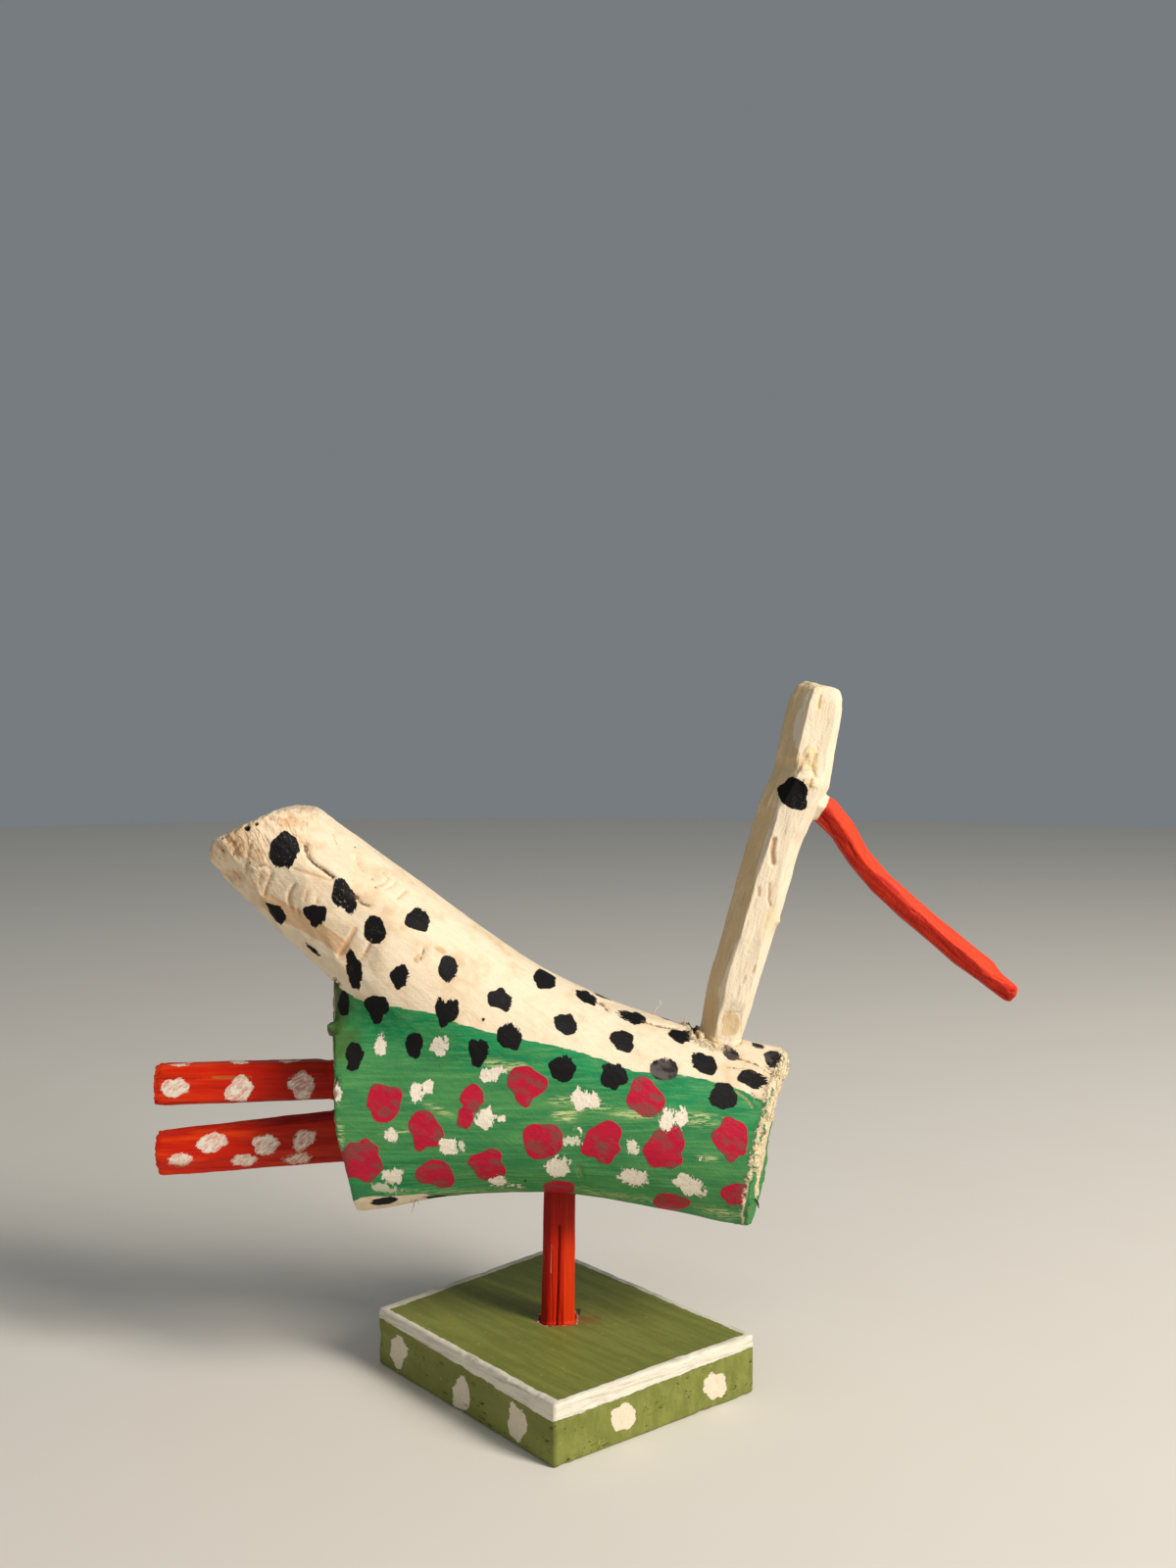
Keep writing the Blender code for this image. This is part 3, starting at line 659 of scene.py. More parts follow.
    def finish(self, material, slot):
        """Writes the layers to the mesh, and puts the piece in its node's place."""
        self.measure()
        for name, values in self.layers.items():
            attribute = self.mesh.attributes.new(name, "FLOAT", "POINT")
            spread = np.broadcast_to(values, len(self.points))
            attribute.data.foreach_set("value", spread.astype(np.float32))
        self.mesh.shade_smooth()
        self.mesh.materials.clear()
        self.mesh.materials.append(material)
        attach(self.object, "root")
        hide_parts(self.node)


def shuffled(marks, seed, drift_x=16.0, drift_y=9.0):
    """The marks as another run of the brush would leave them."""
    chance = random.Random(seed)
    return [mark._replace(x=mark.x + chance.uniform(-drift_x, drift_x),
                          y=mark.y + chance.uniform(-drift_y, drift_y),
                          wide=mark.wide * chance.uniform(0.85, 1.15),
                          tall=mark.tall * chance.uniform(0.85, 1.15),
                          tilt=mark.tilt + chance.uniform(-20, 20)) for mark in marks]


class Value:
    """A number or a colour that a material's nodes work out, so that sums read as plain arithmetic."""

    def __init__(self, finish, socket):
        self.finish = finish
        self.socket = socket

    def __add__(self, other):
        return self.finish.reckon("ADD", self, other)

    def __sub__(self, other):
        return self.finish.reckon("SUBTRACT", self, other)

    def __rsub__(self, other):
        return self.finish.reckon("SUBTRACT", other, self)

    def __mul__(self, other):
        return self.finish.reckon("MULTIPLY", self, other)

    def either(self, other):
        return self.finish.reckon("MAXIMUM", self, other)

    def spread(self, low, high, least, most, kind="LINEAR"):
        """Carries the value from one range into another."""
        inputs = {"Value": self, "From Min": low, "From Max": high, "To Min": least, "To Max": most}
        return self.finish.node("MapRange", inputs, "Result", interpolation_type=kind)

    def step(self, low, high):
        """0 at low and 1 at high, with a smooth rise or fall between them."""
        return self.spread(low, high, 0.0, 1.0, "SMOOTHSTEP")

    def inside(self, ragged, amount, softness=0.00012):
        """1 inside a mark and 0 outside it, with its edge moved in and out by a noise."""
        return (self + (ragged - 0.5) * amount).step(softness, -softness)


class Finish:
    """One material, built up in layers from noise and from what is painted on the mesh."""

    def __init__(self, name, roughness, specular=0.25):
        self.material = bpy.data.materials.new(name)
        self.material.use_nodes = True
        self.tree = self.material.node_tree
        self.shader = self.tree.nodes["Principled BSDF"]
        self.shader.inputs["Roughness"].default_value = roughness
        self.shader.inputs["Specular IOR Level"].default_value = specular
        self.place = self.node("TexCoord", {}, "Object")

    def node(self, kind, inputs, output, **settings):
        """Adds a node with those settings and inputs, and gives one of its outputs."""
        node = self.tree.nodes.new("ShaderNode" + kind)
        for name, setting in settings.items():
            setattr(node, name, setting)
        for name, source in inputs.items():
            if isinstance(source, Value):
                self.tree.links.new(source.socket, node.inputs[name])
            else:
                node.inputs[name].default_value = source
        return Value(self, node.outputs[output])

    def painted(self, layer):
        """What the mesh holds under that name."""
        return self.node("Attribute", {}, "Fac", attribute_name=layer)

    def reckon(self, operation, first, second):
        return self.node("Math", {0: first, 1: second}, 0, operation=operation)

    def noise(self, size, turn=0.0, detail=3.0, seed=0.0, roughness=0.6, swing=0.0, twist=0.0):
        """Noise about 0.5, in lumps of a size in metres along axes turned about Y and swung about Z."""
        turns = (0.0, math.radians(turn), math.radians(swing))
        inputs = {"Vector": self.place, "Location": (seed, 0.0, 0.0), "Rotation": turns, "Scale": size}
        place = self.node("Mapping", inputs, "Vector", vector_type="TEXTURE")
        inputs = {"Vector": place, "Scale": 1.0, "Detail": detail, "Roughness": roughness,
                  "Distortion": twist}
        return self.node("TexNoise", inputs, "Fac")

    def mix(self, share, under, over, kind="RGBA"):
        return self.node("Mix", {"Factor": share, "A": under, "B": over}, "Result", data_type=kind)

    def coats(self, under, *coats):
        """Lays coats over each other, each given by its share and its colour."""
        for share, over in coats:
            under = self.mix(share, under, over)
        return under

    def relief(self, *steps):
        """Adds up heights, each a value and the metres it stands for, and bends the light with them."""
        first, *others = [value * (metres / MILLIMETRE) for value, metres in steps]
        inputs = {"Distance": MILLIMETRE, "Strength": 1.0, "Height": sum(others, first)}
        self.tree.links.new(self.node("Bump", inputs, "Normal").socket, self.shader.inputs["Normal"])

    def done(self, colour, roughness=None):
        self.tree.links.new(colour.socket, self.shader.inputs["Base Color"])
        if roughness is not None:
            self.tree.links.new(roughness.socket, self.shader.inputs["Roughness"])
        return self.material


def body_finish():
    """Cream back and green flanks under black, magenta and white dabs, with raw sawn ends."""
    paint = Finish("brushed_body_paint", 0.6, 0.2)
    streaks = paint.noise((0.016, 0.0011, 0.0011), detail=4, seed=3)
    wide_streaks = paint.noise((0.045, 0.005, 0.005), seed=9)
    stub_streaks = paint.noise((0.010, 0.0013, 0.0013), STUB_GRAIN, detail=4, seed=5)
    level_bristles = paint.noise((0.0030, 0.0008, 0.0008), seed=13)
    upright_bristles = paint.noise((0.0008, 0.0010, 0.0021), detail=4, seed=14, roughness=0.7)
    bristles = paint.mix(paint.painted("upright"), level_bristles, upright_bristles, "FLOAT")
    grit = paint.noise((0.0007, 0.0007, 0.0007), seed=2)
    blotches = paint.noise((0.009, 0.009, 0.009), seed=7)
    fibres = paint.noise((0.0014, 0.0011, 0.0008), detail=4, seed=31)
    ragged = paint.noise((0.0013, 0.0016, 0.0020), detail=4, seed=21, roughness=0.7)
    wrinkles = paint.noise((0.0030, 0.0026, 0.0010), 62.0, detail=2, seed=33, twist=0.5)
    hairs = paint.noise((0.0050, 0.00045, 0.00045), detail=4, seed=25)
    clouds = paint.noise((0.0060, 0.0036, 0.0036), 25.0, seed=27)
    gnarl = paint.painted("gnarl")
    dryness = paint.painted("dry")
    gaps = paint.painted("fray") * 0.0036 + 0.0011

    cream = paint.coats(CREAM, (blotches.step(0.42, 0.80), CREAM_DEEP),
                        (stub_streaks.spread(0.50, 0.80, 0, 0.5), CREAM_DEEP))
    tan = paint.mix(stub_streaks.spread(0.30, 0.70, 0.35, 0.75), TAN, PEACH)
    bare = paint.painted("bare").inside(stub_streaks, 0.0030, 0.0004)
    furrow = wrinkles.step(0.52, 0.34) * gnarl * blotches.step(0.40, 0.55)
    colour = paint.coats(cream, (bare, tan), (gnarl * blotches.spread(0.35, 0.65, 0.1, 0.6), PEACH),
                         (furrow * 0.4, TAN))

    depth = paint.painted("green")
    green_here = depth.inside(streaks, 0.0022)
    moss = paint.painted("moss").inside(blotches, 0.010, 0.004) * 0.85
    # On the body this layer is only the green rubbed thin, which is real wear
    worn_green_and_neck_shade = paint.painted("worn_green_and_neck_shade").inside(streaks, 0.004, 0.0012)
    green = paint.coats(GREEN, ((depth + wide_streaks * 0.016).step(0.0, -0.012), GREEN_LOW),
                        (wide_streaks.spread(0.62, 0.38, 0, 0.6), GREEN_DARK),
                        (streaks.spread(0.48, 0.76, 0, 0.65), GREEN_LIGHT),
                        (streaks.spread(0.46, 0.30, 0, 0.35), GREEN_DARK),
                        (blotches.spread(0.50, 0.70, 0, 0.6), GREEN_LOW), (moss, MOSS),
                        (worn_green_and_neck_shade * (hairs + streaks * 0.35).step(0.65, 0.73), PALE_GREEN))

    black_here = paint.painted("black").inside(bristles, gaps)
    flecks = (grit + dryness * 0.10).step(0.66, 0.74) * dryness.step(0.0, 0.5) * dryness.step(0.75, 0.60)
    faded = dryness.step(0.60, 0.78) * clouds.step(0.40, 0.60) * 0.8
    # Grey along the bristles: partly painted sheen, partly greyer where the brush ran dry
    black = paint.coats(BLACK, ((bristles + dryness * 0.30).step(0.58, 1.0), CHARCOAL), (flecks, FLECK),
                        (faded, FADED))
    magenta_here = paint.painted("magenta").inside(bristles, gaps * 0.8)
    magenta = paint.coats(MAGENTA, (bristles.spread(0.40, 0.75, 0, 0.7), MAGENTA_DEEP),
                          (clouds.step(0.47, 0.62) * 0.8, MURKY))
    white_here = paint.painted("white").inside(ragged, gaps + 0.0034)
    white = paint.coats(DAB_WHITE, (bristles.spread(0.45, 0.75, 0, 0.5), CREAM_DEEP),
                        (dryness * 0.6, GREEN_LIGHT))
    colour = paint.coats(colour, (green_here, green), (black_here, black), (magenta_here, magenta),
                         (white_here, white))

    saw_edge = paint.painted("sawn")
    sawn = saw_edge.inside(ragged, 0.0060, 0.0003)
    splash = paint.painted("splash")
    slop = (0.0030 - paint.painted("slop") * 0.0060).inside(ragged, 0.0030, 0.0003)
    slopped = paint.mix(fibres.step(0.50, 0.70), GREEN_LOW, GREEN_DARK)
    raw = paint.coats(CREAM, (fibres.step(0.42, 0.62), STRAW), (fibres.step(0.55, 0.64) * 0.5, TAN),
                      (ragged.step(0.55, 0.61) * splash * 0.85, BROWN),
                      (ragged.step(0.50, 0.56) * (splash * saw_edge.step(-0.0030, -0.0008)), GREEN),
                      (slop, slopped), (moss, MOSS))
    rim = paint.painted("rim").inside(ragged, 0.0045, 0.0008)
    torn = paint.coats(CREAM, (fibres.step(0.40, 0.60), STRAW), (ragged.step(0.56, 0.62) * 0.85, BROWN))
    # A darker tint where wrinkles and chips are sunk: tan on cream, moss green on green, brown on raw wood
    sunk_tint = paint.mix(sawn, paint.mix(green_here, TAN, MOSS), BROWN)
    colour = paint.coats(colour, (sawn, raw), (rim, torn),
                         (paint.painted("sunk").step(0.00025, 0.00110) * 0.7, sunk_tint),
                         (paint.painted("nick").inside(grit, 0.0006, 0.0002) * 0.6, TAN),
                         (paint.painted("crack").inside(ragged, 0.0016, 0.00025) * 0.85, BROWN),
                         (paint.painted("hole").inside(grit, 0.0004, 0.0002), DARK))

    marks = black_here.either(magenta_here).either(white_here)
    paint.relief((streaks, 0.00022), (stub_streaks, 0.00018), (grit, 0.00012), (marks, 0.00010),
                 (white_here * ragged, 0.00025), (furrow, -0.00020), (gnarl * wrinkles, 0.00045),
                 (sawn * fibres, 0.0010), (rim * fibres, 0.0012))
    return paint.done(colour, (magenta_here * 0.3 + grit).spread(0.2, 1.1, 0.72, 0.42))


def neck_finish():
    """Thin white paint over knife flats, with painted shade on its left side and below the beak's ridge, a
    black eye, and a red beak.
    """
    paint = Finish("whitewashed_neck_and_red_beak", 0.6, 0.15)
    wrinkles = paint.noise((0.0060, 0.0010, 0.0010), NECK_GRAIN, seed=4)
    blotches = paint.noise((0.008, 0.004, 0.004), NECK_GRAIN, seed=8)
    grit = paint.noise((0.0006, 0.0006, 0.0006), seed=2)
    bristles = paint.noise((0.0020, 0.0006, 0.0006), seed=13)
    beak_streaks = paint.noise((0.010, 0.0010, 0.0010), BEAK_GRAIN, detail=4, seed=6)

    # Painted shade: the neck's left side, left of its edge, is washed tan
    worn_green_and_neck_shade = paint.painted("worn_green_and_neck_shade").inside(wrinkles, 0.0030, 0.0003)
    patch = paint.painted("patch").inside(grit, 0.0010, 0.0004)
    yellow = paint.painted("yellow").inside(blotches, 0.0030, 0.0010)
    knots = paint.painted("knot").inside(blotches, 0.006, 0.001)
    white = paint.coats(WHITEWASH, (wrinkles.spread(0.50, 0.85, 0, 0.5), CREAM_DEEP),
                        (worn_green_and_neck_shade * blotches.spread(0.3, 0.6, 0.6, 0.9), NECK_SHADE_AND_PATCH_TAN), (patch * 0.75, NECK_SHADE_AND_PATCH_TAN),
                        (yellow * 0.5, STRAW), (knots * 0.6, STRAW))

    eye_here = paint.painted("black").inside(bristles, 0.0010)
    flecks = grit.step(0.60, 0.68) * paint.painted("fray") * 0.6
    eye = paint.coats(BLACK, (bristles.step(0.55, 0.85), CHARCOAL), (flecks, FLECK))

    beak_here = paint.painted("beak").inside(bristles, 0.0016)
    # Painted shade: the beak's red goes deep below its ridge
    shade = paint.painted("shade").inside(beak_streaks, 0.0026, 0.0003)
    red = paint.coats(BEAK_RED, (beak_streaks.spread(0.50, 0.80, 0, 0.6), BEAK_DEEP),
                      (shade * beak_streaks.spread(0.35, 0.65, 0.5, 0.95), BEAK_DEEP))
    crease = paint.painted("nick").inside(grit, 0.0006, 0.0003)
    colour = paint.coats(white, (eye_here, eye), (beak_here, red),
                         (crease * 0.6, paint.mix(beak_here, TAN, BEAK_DEEP)))
    paint.relief((wrinkles, 0.00035), (grit, 0.00012), (eye_here, 0.00008), (beak_streaks, 0.00010),
                 (knots * bristles, 0.00060), (worn_green_and_neck_shade, -0.00010))
    return paint.done(colour, (beak_here * 0.4 + grit).spread(0.2, 1.1, 0.70, 0.40))


def red_finish():
    """Red paint over riven wood, deepened with painted shade towards the body, with brushed white dabs."""
    paint = Finish("red_stick_paint", 0.5, 0.15)
    streaks = paint.noise((0.022, 0.0012, 0.0009), seed=11)
    bands = paint.noise((0.030, 0.004, 0.003), detail=2, seed=15)
    bristles = paint.noise((0.0024, 0.0016, 0.0007), -38.0, detail=4, seed=17, roughness=0.7)
    grit = paint.noise((0.0006, 0.0006, 0.0006), seed=19)
    dryness = paint.painted("dry")

    dab_here = paint.painted("white").inside(bristles, dryness * 0.0030 + 0.0018)
    cover = (bristles - dryness * 0.16).spread(0.24, 0.48, 0.45, 1.0)
    colour = paint.coats(RED, (bands.step(0.42, 0.66), RED_ORANGE),
                         (streaks.spread(0.48, 0.80, 0, 0.8), RED_DEEP),
                         # Painted shade: the red deepens towards the body
                         (paint.painted("deep") * 0.6, RED_DEEP),
                         (dab_here * cover, paint.mix(bristles.step(0.30, 0.62), DAB_PINK, DAB_WHITE)),
                         (paint.painted("bare").inside(streaks, 0.0016, 0.0006) * 0.5, OLIVE),
                         (paint.painted("crack").inside(grit, 0.0006, 0.0002) * 0.6, DARK))
    paint.relief((streaks, 0.00025), (grit, 0.00008), (dab_here * bristles, 0.00022))
    return paint.done(colour, streaks.spread(0.3, 0.7, 0.38, 0.55))


def leg_finish():
    """The same red on an upright stick: painted shade on its left side and under the body, painted light on
    its right side, painted highlights along some streaks, and a dark crack down its front.
    """
    paint = Finish("red_leg_paint", 0.5, 0.15)
    streaks = paint.noise((0.026, 0.0009, 0.0008), 90.0, seed=23)
    grit = paint.noise((0.0006, 0.0006, 0.0006), seed=29)
    colour = paint.coats(RED, (streaks.step(0.46, 0.80), RED_DEEP),
                         # Painted highlights: orange along some of the streaks
                         (streaks.spread(0.42, 0.28, 0, 0.6), RED_ORANGE),
                         # Painted shade on the left side, and painted light on the right side
                         (paint.painted("left").inside(streaks, 0.0016, 0.0003) * 0.6, RED_DEEP),
                         (paint.painted("right").inside(streaks, 0.0012, 0.0003) * 0.7, RED_ORANGE),
                         # Painted shade: the red deepens at the top, under the body
                         (paint.painted("deep") * 0.85, RED_DEEP),
                         (paint.painted("bare").inside(streaks, 0.0006, 0.0002) * 0.7, CREAM_DEEP),
                         (paint.painted("crack").inside(grit, 0.0005, 0.0002) * 0.85, DARK))
    paint.relief((streaks, 0.00030), (grit, 0.00008))
    return paint.done(colour, streaks.spread(0.3, 0.7, 0.36, 0.55))


def board_finish():
    """Olive paint brushed along the board's grain, with a white line and white dots."""
    paint = Finish("olive_board_paint", 0.6)
    brushed = paint.noise((0.030, 0.0030, 0.008), detail=4, seed=37, swing=BOARD_GRAIN)
    fine = paint.noise((0.012, 0.0007, 0.0012), seed=41, swing=BOARD_GRAIN)
    level = paint.noise((0.010, 0.010, 0.0008), seed=45)
    grit = paint.noise((0.0008, 0.0008, 0.0008), seed=43)
    wobble = paint.noise((0.0040, 0.0040, 0.0014), seed=47)
    pores = paint.noise((0.0017, 0.0017, 0.0006), detail=2, seed=49)
    patches = paint.noise((0.011, 0.011, 0.006), detail=2, seed=51)
    motes = paint.noise((0.0011, 0.0011, 0.0011), detail=0, seed=53)

    line_here = paint.painted("line").inside(wobble, 0.0014, 0.00018)
    dot_here = paint.painted("white").inside(wobble, 0.0022)
    marks = line_here.either(dot_here)
    clear = 1.0 - marks
    pits = pores.step(0.64, 0.69) * patches.step(0.50, 0.60) * paint.painted("flank") * clear
    colour = paint.coats(OLIVE_DARK, (brushed.step(0.38, 0.64), OLIVE),
                         (fine.spread(0.56, 0.80, 0, 0.5), OLIVE_LIGHT),
                         (paint.painted("stain").inside(wobble, 0.006, 0.0020) * 0.45, RED_DEEP),
                         (paint.painted("ring").inside(grit, 0.0030, 0.0003) * 0.8,
                          paint.mix(grit.step(0.45, 0.55), RED_DEEP, CREAM)),
                         (line_here, paint.mix(level.spread(0.46, 0.72, 0, 0.8), LINE_WHITE, LINE_GREY)),
                         (dot_here, paint.mix(grit.spread(0.4, 0.8, 0, 0.4), DOT_CREAM, LINE_GREY)),
                         (pits * 0.85, DARK), (motes.step(0.80, 0.82) * clear * 0.45, LINE_GREY),
                         (paint.painted("pit").inside(grit, 0.0004, 0.0002) * 0.75, DARK))
    paint.relief((brushed, 0.00012), (fine, 0.00014), (grit, 0.00010), (marks, 0.00015), (pits, -0.00040),
                 (line_here * level, 0.00020))
    return paint.done(colour, grit.spread(0.3, 0.7, 0.5, 0.68))


def saw_marks(body):
    """How far each point lies from the raw wood of the two sawn faces, and from their edges."""
    saws = [(body.points - point) @ facing(*way) for point, way in (BREAST_FACE, TAIL_FACE)]
    below_crotch = body.points[:, 2] < CROTCH_HEIGHT
    edge = np.minimum(np.abs(saws[0]), np.where(below_crotch, np.abs(saws[1]), FAR))
    wear = 0.0024 * ramp(-body.points[:, 2], -0.112, -0.100)
    ends = []
    for depth, (_, way), worn in zip(saws, (BREAST_FACE, TAIL_FACE), (wear, -0.0018)):
        on_face = np.abs(depth) + 0.010 * (1 - ramp(body.normals @ facing(*way), 0.60, 0.95)) - 0.0008
        ends.append(np.minimum(on_face, np.abs(depth) - worn))
    return np.minimum(ends[0], np.where(below_crotch, ends[1], FAR)), edge


def rim_of(body):
    """How near the rim of the breast's sawn face each point lies, from 0 to 1, and 0 off the face."""
    point, way = BREAST_FACE
    on_face = np.abs((body.points - point) @ facing(*way)) < 0.0012
    low, high = body.points[on_face].min(axis=0), body.points[on_face].max(axis=0)
    round_middle = (body.points - 0.5 * (low + high)) / (0.5 * (high - low))
    return np.where(on_face, ramp(np.hypot(round_middle[:, 1], round_middle[:, 2]), 0.60, 1.0), 0.0)


def green_depth(body):
    """How far each point lies outside the green, which ends at a line on the flanks and under the belly."""
    mirrored = photo_pixels(body.points * (1, -1, 1), BACK)
    pixels = np.where(body.points[:, 1:2] < 0, body.pixels[FRONT], mirrored)
    under_edge = (np.interp(pixels[:, 0], *zip(*GREEN_EDGE)) - pixels[:, 1]) / PIXELS_PER_METRE
    drop = np.degrees(np.arcsin(np.clip(-body.normals[:, 2], -1, 1)))
    past_belly = (drop - np.interp(pixels[:, 0], *zip(*GREEN_UNDER))) * 0.0005
    return np.maximum(under_edge, np.where(body.points[:, 2] < 0.085, past_belly, -FAR))


def paint_body(body):
    for layer, marks in (("black", BLACK_DABS), ("magenta", MAGENTA_DABS), ("white", WHITE_DABS),
                         ("worn_green_and_neck_shade", THIN_GREEN), ("moss", MOSSY_GREEN), ("bare", BARE_FLATS),
                         ("rim", TORN_RIM), ("torn", TORN_CORNERS)):
        body.brush(layer, marks)
    for side in (FRONT, BACK):
        body.cover("bare", body.stroke(BARE_BAND, BARE_BAND_WIDTH, side))
    for seed, (layer, marks) in enumerate((("black", BLACK_DABS), ("magenta", MAGENTA_DABS),
                                           ("white", WHITE_DABS), ("worn_green_and_neck_shade", THIN_GREEN)), start=51):
        body.brush(layer, shuffled(marks, seed), BACK, hidden_only=FRONT)


def carve_body():
    body = Surface("carved_body", "body_branch", BODY_CELL)
    sticks = ("neck_and_beak", "leg_stick", "tail_stick_upper", "tail_stick_lower")
    gap = np.min([distance_to_node(body.points, stick, 0.006) for stick in sticks], axis=0)
    _, edge = saw_marks(body)
    body.ease(22, ramp(np.minimum(gap, edge), 0.0002, 0.0022))
    body.ease(1)
    body.layers["sawn"], edge = saw_marks(body)
    near_rim = rim_of(body)
    body.layers["splash"] = (0.60 + 0.40 * near_rim) * ramp(-body.points[:, 2], -0.115, -0.098)
    body.layers["green"] = green_depth(body)
    body.layers["slop"] = (0.35 + 0.75 * near_rim) * ramp(-body.points[:, 2], -0.086, -0.064)
    paint_body(body)

    stub_end = ramp((body.points - body.points[body.nearest(289, 867)]) @ STUB_WAY, -0.012, 0.012)
    lower_limb = 1 - ramp((body.points - body.points[body.nearest(420, 1010)]) @ STUB_WAY, -0.010, 0.015)
    body.layers["gnarl"] = stub_end
    nub = np.linalg.norm(body.points - body.points[body.nearest(*NUB)], axis=1)
    body.points[:, 0] -= NUB_DEPTH * (1 - ramp(nub, 0.0008, 0.0034))
    nub_point = body.points[body.nearest(*NUB)]
    beside_nub = (body.points - nub_point) * (1.0, 0.3, 1.0)
    up_the_nub = [(0.0, 0.0, -0.003), (0.0, 0.0, MOSS_HEIGHT)]
    body.cover("moss", distance_to_path(beside_nub, up_the_nub) - MOSS_REACH)
    body.shave(STUB_FLATS, STUB_WAY)
    point, way = BREAST_FACE
    hollow = BREAST_HOLLOW * ramp(body.points[:, 1], -0.012, 0.012)
    hollow *= 1 - ramp(np.abs(body.points[:, 2] - BREAST_HOLLOW_HEIGHT), 0.004, 0.022)
    past = (body.points - point) @ facing(*way) + hollow
    body.points -= np.maximum(past, 0.0)[:, None] * facing(*way)
    corner = body.points[body.nearest(*BREAST_CORNER)]
    body.points -= np.maximum((body.points - corner) @ BREAST_CORNER_WAY, 0.0)[:, None] * BREAST_CORNER_WAY
    body.ease(1)
    grain = along_grain(body.points, STUB_GRAIN)
    body.raise_by(0.00022 * fractal(body.points, 0.012, 2, 1) - 0.0001)
    body.raise_by(0.00014 * (1 - lower_limb) * fractal(grain, (0.008, 0.0024, 0.0024), 2, 3))
    body.raise_by(0.00007 * lower_limb * fractal(body.points, (0.012, 0.0020, 0.0020), 2, 5))
    across = along_grain(body.points, -30)
    sunk = WRINKLE_DEPTH * stub_end * np.abs(fractal(across, (0.0024, 0.0036, 0.0050), 2, 7))
    at_saw = 1 - ramp(body.layers["sawn"], -0.0004, 0.0008)
    body.raise_by(SAW_LUMPS * at_saw * fractal(body.points, (0.0030, 0.0030, 0.0044), 2, 9))
    tail_face = ramp(body.normals @ facing(*TAIL_FACE[1]), 0.7, 0.95) * (body.points[:, 0] < -0.05)
    body.raise_by(-TAIL_FACE_DEPTH * tail_face * (body.points[:, 2] < CROTCH_HEIGHT))
    chips = ramp(fractal(body.points, 0.0034, 2, 11), 0.15, 0.8)
    sunk += CHIP_DEPTH * chips * (1 - ramp(edge, 0.0006, 0.0026))
    body.raise_by(-sunk)
    body.layers["sunk"] = sunk
    rim = 1 - ramp(body.layers["rim"], -0.0006, 0.0008)
    corners = 1 - ramp(body.layers.pop("torn"), -0.002, 0.001)
    body.raise_by(rim * (RIM_HEIGHT + RIM_LUMPS * fractal(body.points, (0.0026, 0.0026, 0.0034), 2, 13)))
    body.raise_by(CORNER_LUMPS * corners * fractal(body.points, 0.0028, 2, 15))
    body.measure()
    for side in (FRONT, BACK):
        body.cut("crack", CRACKS, side)
        body.cut("nick", NICKS, side)
        body.cut("scratch", SCRATCHES, side)
        body.pierce("hole", HOLES, side)
    del body.layers["scratch"]
    body.measure()
    for pixels, radius in SPLINTERS:
        body.sprout(pixels, radius)
    for pixels, radius in HAIRS:
        body.sprout(pixels, radius, dark=True)
    body.finish(body_finish(), "body_paint")


def carve_neck():
    neck = Surface("carved_neck_and_beak", "neck_and_beak", NECK_CELL)
    neck.ease(2)
    neck.shave(NECK_FLATS, NECK_WAY)
    neck.ease(2)
    centre = [CAMERA_PLACE + way * (-CAMERA_PLACE[1] / way[1]) for way in map(sight, BEAK_LINE)]
    girth = distance_to_path(neck.points, centre) - BEAK_GIRTH
    start = neck.points[neck.nearest(*BEAK_PAINT_EDGE)]
    neck.layers["beak"] = np.maximum(-(neck.points - start) @ BEAK_PAINT_WAY, girth)
    for side in (FRONT, BACK):
        for layer, marks in (("black", [EYE]), ("knot", NECK_KNOTS), ("patch", NECK_PATCH),
                             ("yellow", NECK_YELLOW)):
            neck.brush(layer, marks, side)
        # Painted shade on the neck's left side
        neck.cover("worn_green_and_neck_shade", neck.beside(NECK_EDGE, side))
        # Painted shade below the beak's ridge
        neck.cover("shade", 0.66 * neck.beside(BEAK_RIDGE, side))
    on_beak = 1 - ramp(neck.layers["beak"], -0.001, 0.001)
    grain = along_grain(neck.points, NECK_GRAIN)
    beak_grain = along_grain(neck.points, BEAK_GRAIN)
    neck.raise_by(0.00020 * (1 - on_beak) * fractal(grain, (0.010, 0.0026, 0.0026), 3, 21))
    neck.raise_by(0.00012 * on_beak * fractal(beak_grain, (0.007, 0.0020, 0.0020), 2, 25))
    lumps = 1 - ramp(neck.layers["knot"], -0.001, 0.0008)
    neck.raise_by(KNOT_LUMPS * lumps * fractal(neck.points, 0.0026, 2, 27))
    neck.hug("body_branch")
    neck.measure()
    for side in (FRONT, BACK):
        neck.cut("nick", NECK_SLITS + BEAK_NICKS, side)
    neck.finish(neck_finish(), "neck_paint")


def sight(pixel):
    """The way from the camera through a pixel of the photograph."""
    right = (pixel[0] - 0.5 * PHOTO_WIDTH) / FOCAL_PIXELS
    up = (0.5 * PHOTO_HEIGHT - pixel[1]) / FOCAL_PIXELS
    return np.array([right, math.cos(CAMERA_DROP) + up * math.sin(CAMERA_DROP),
                     up * math.cos(CAMERA_DROP) - math.sin(CAMERA_DROP)])


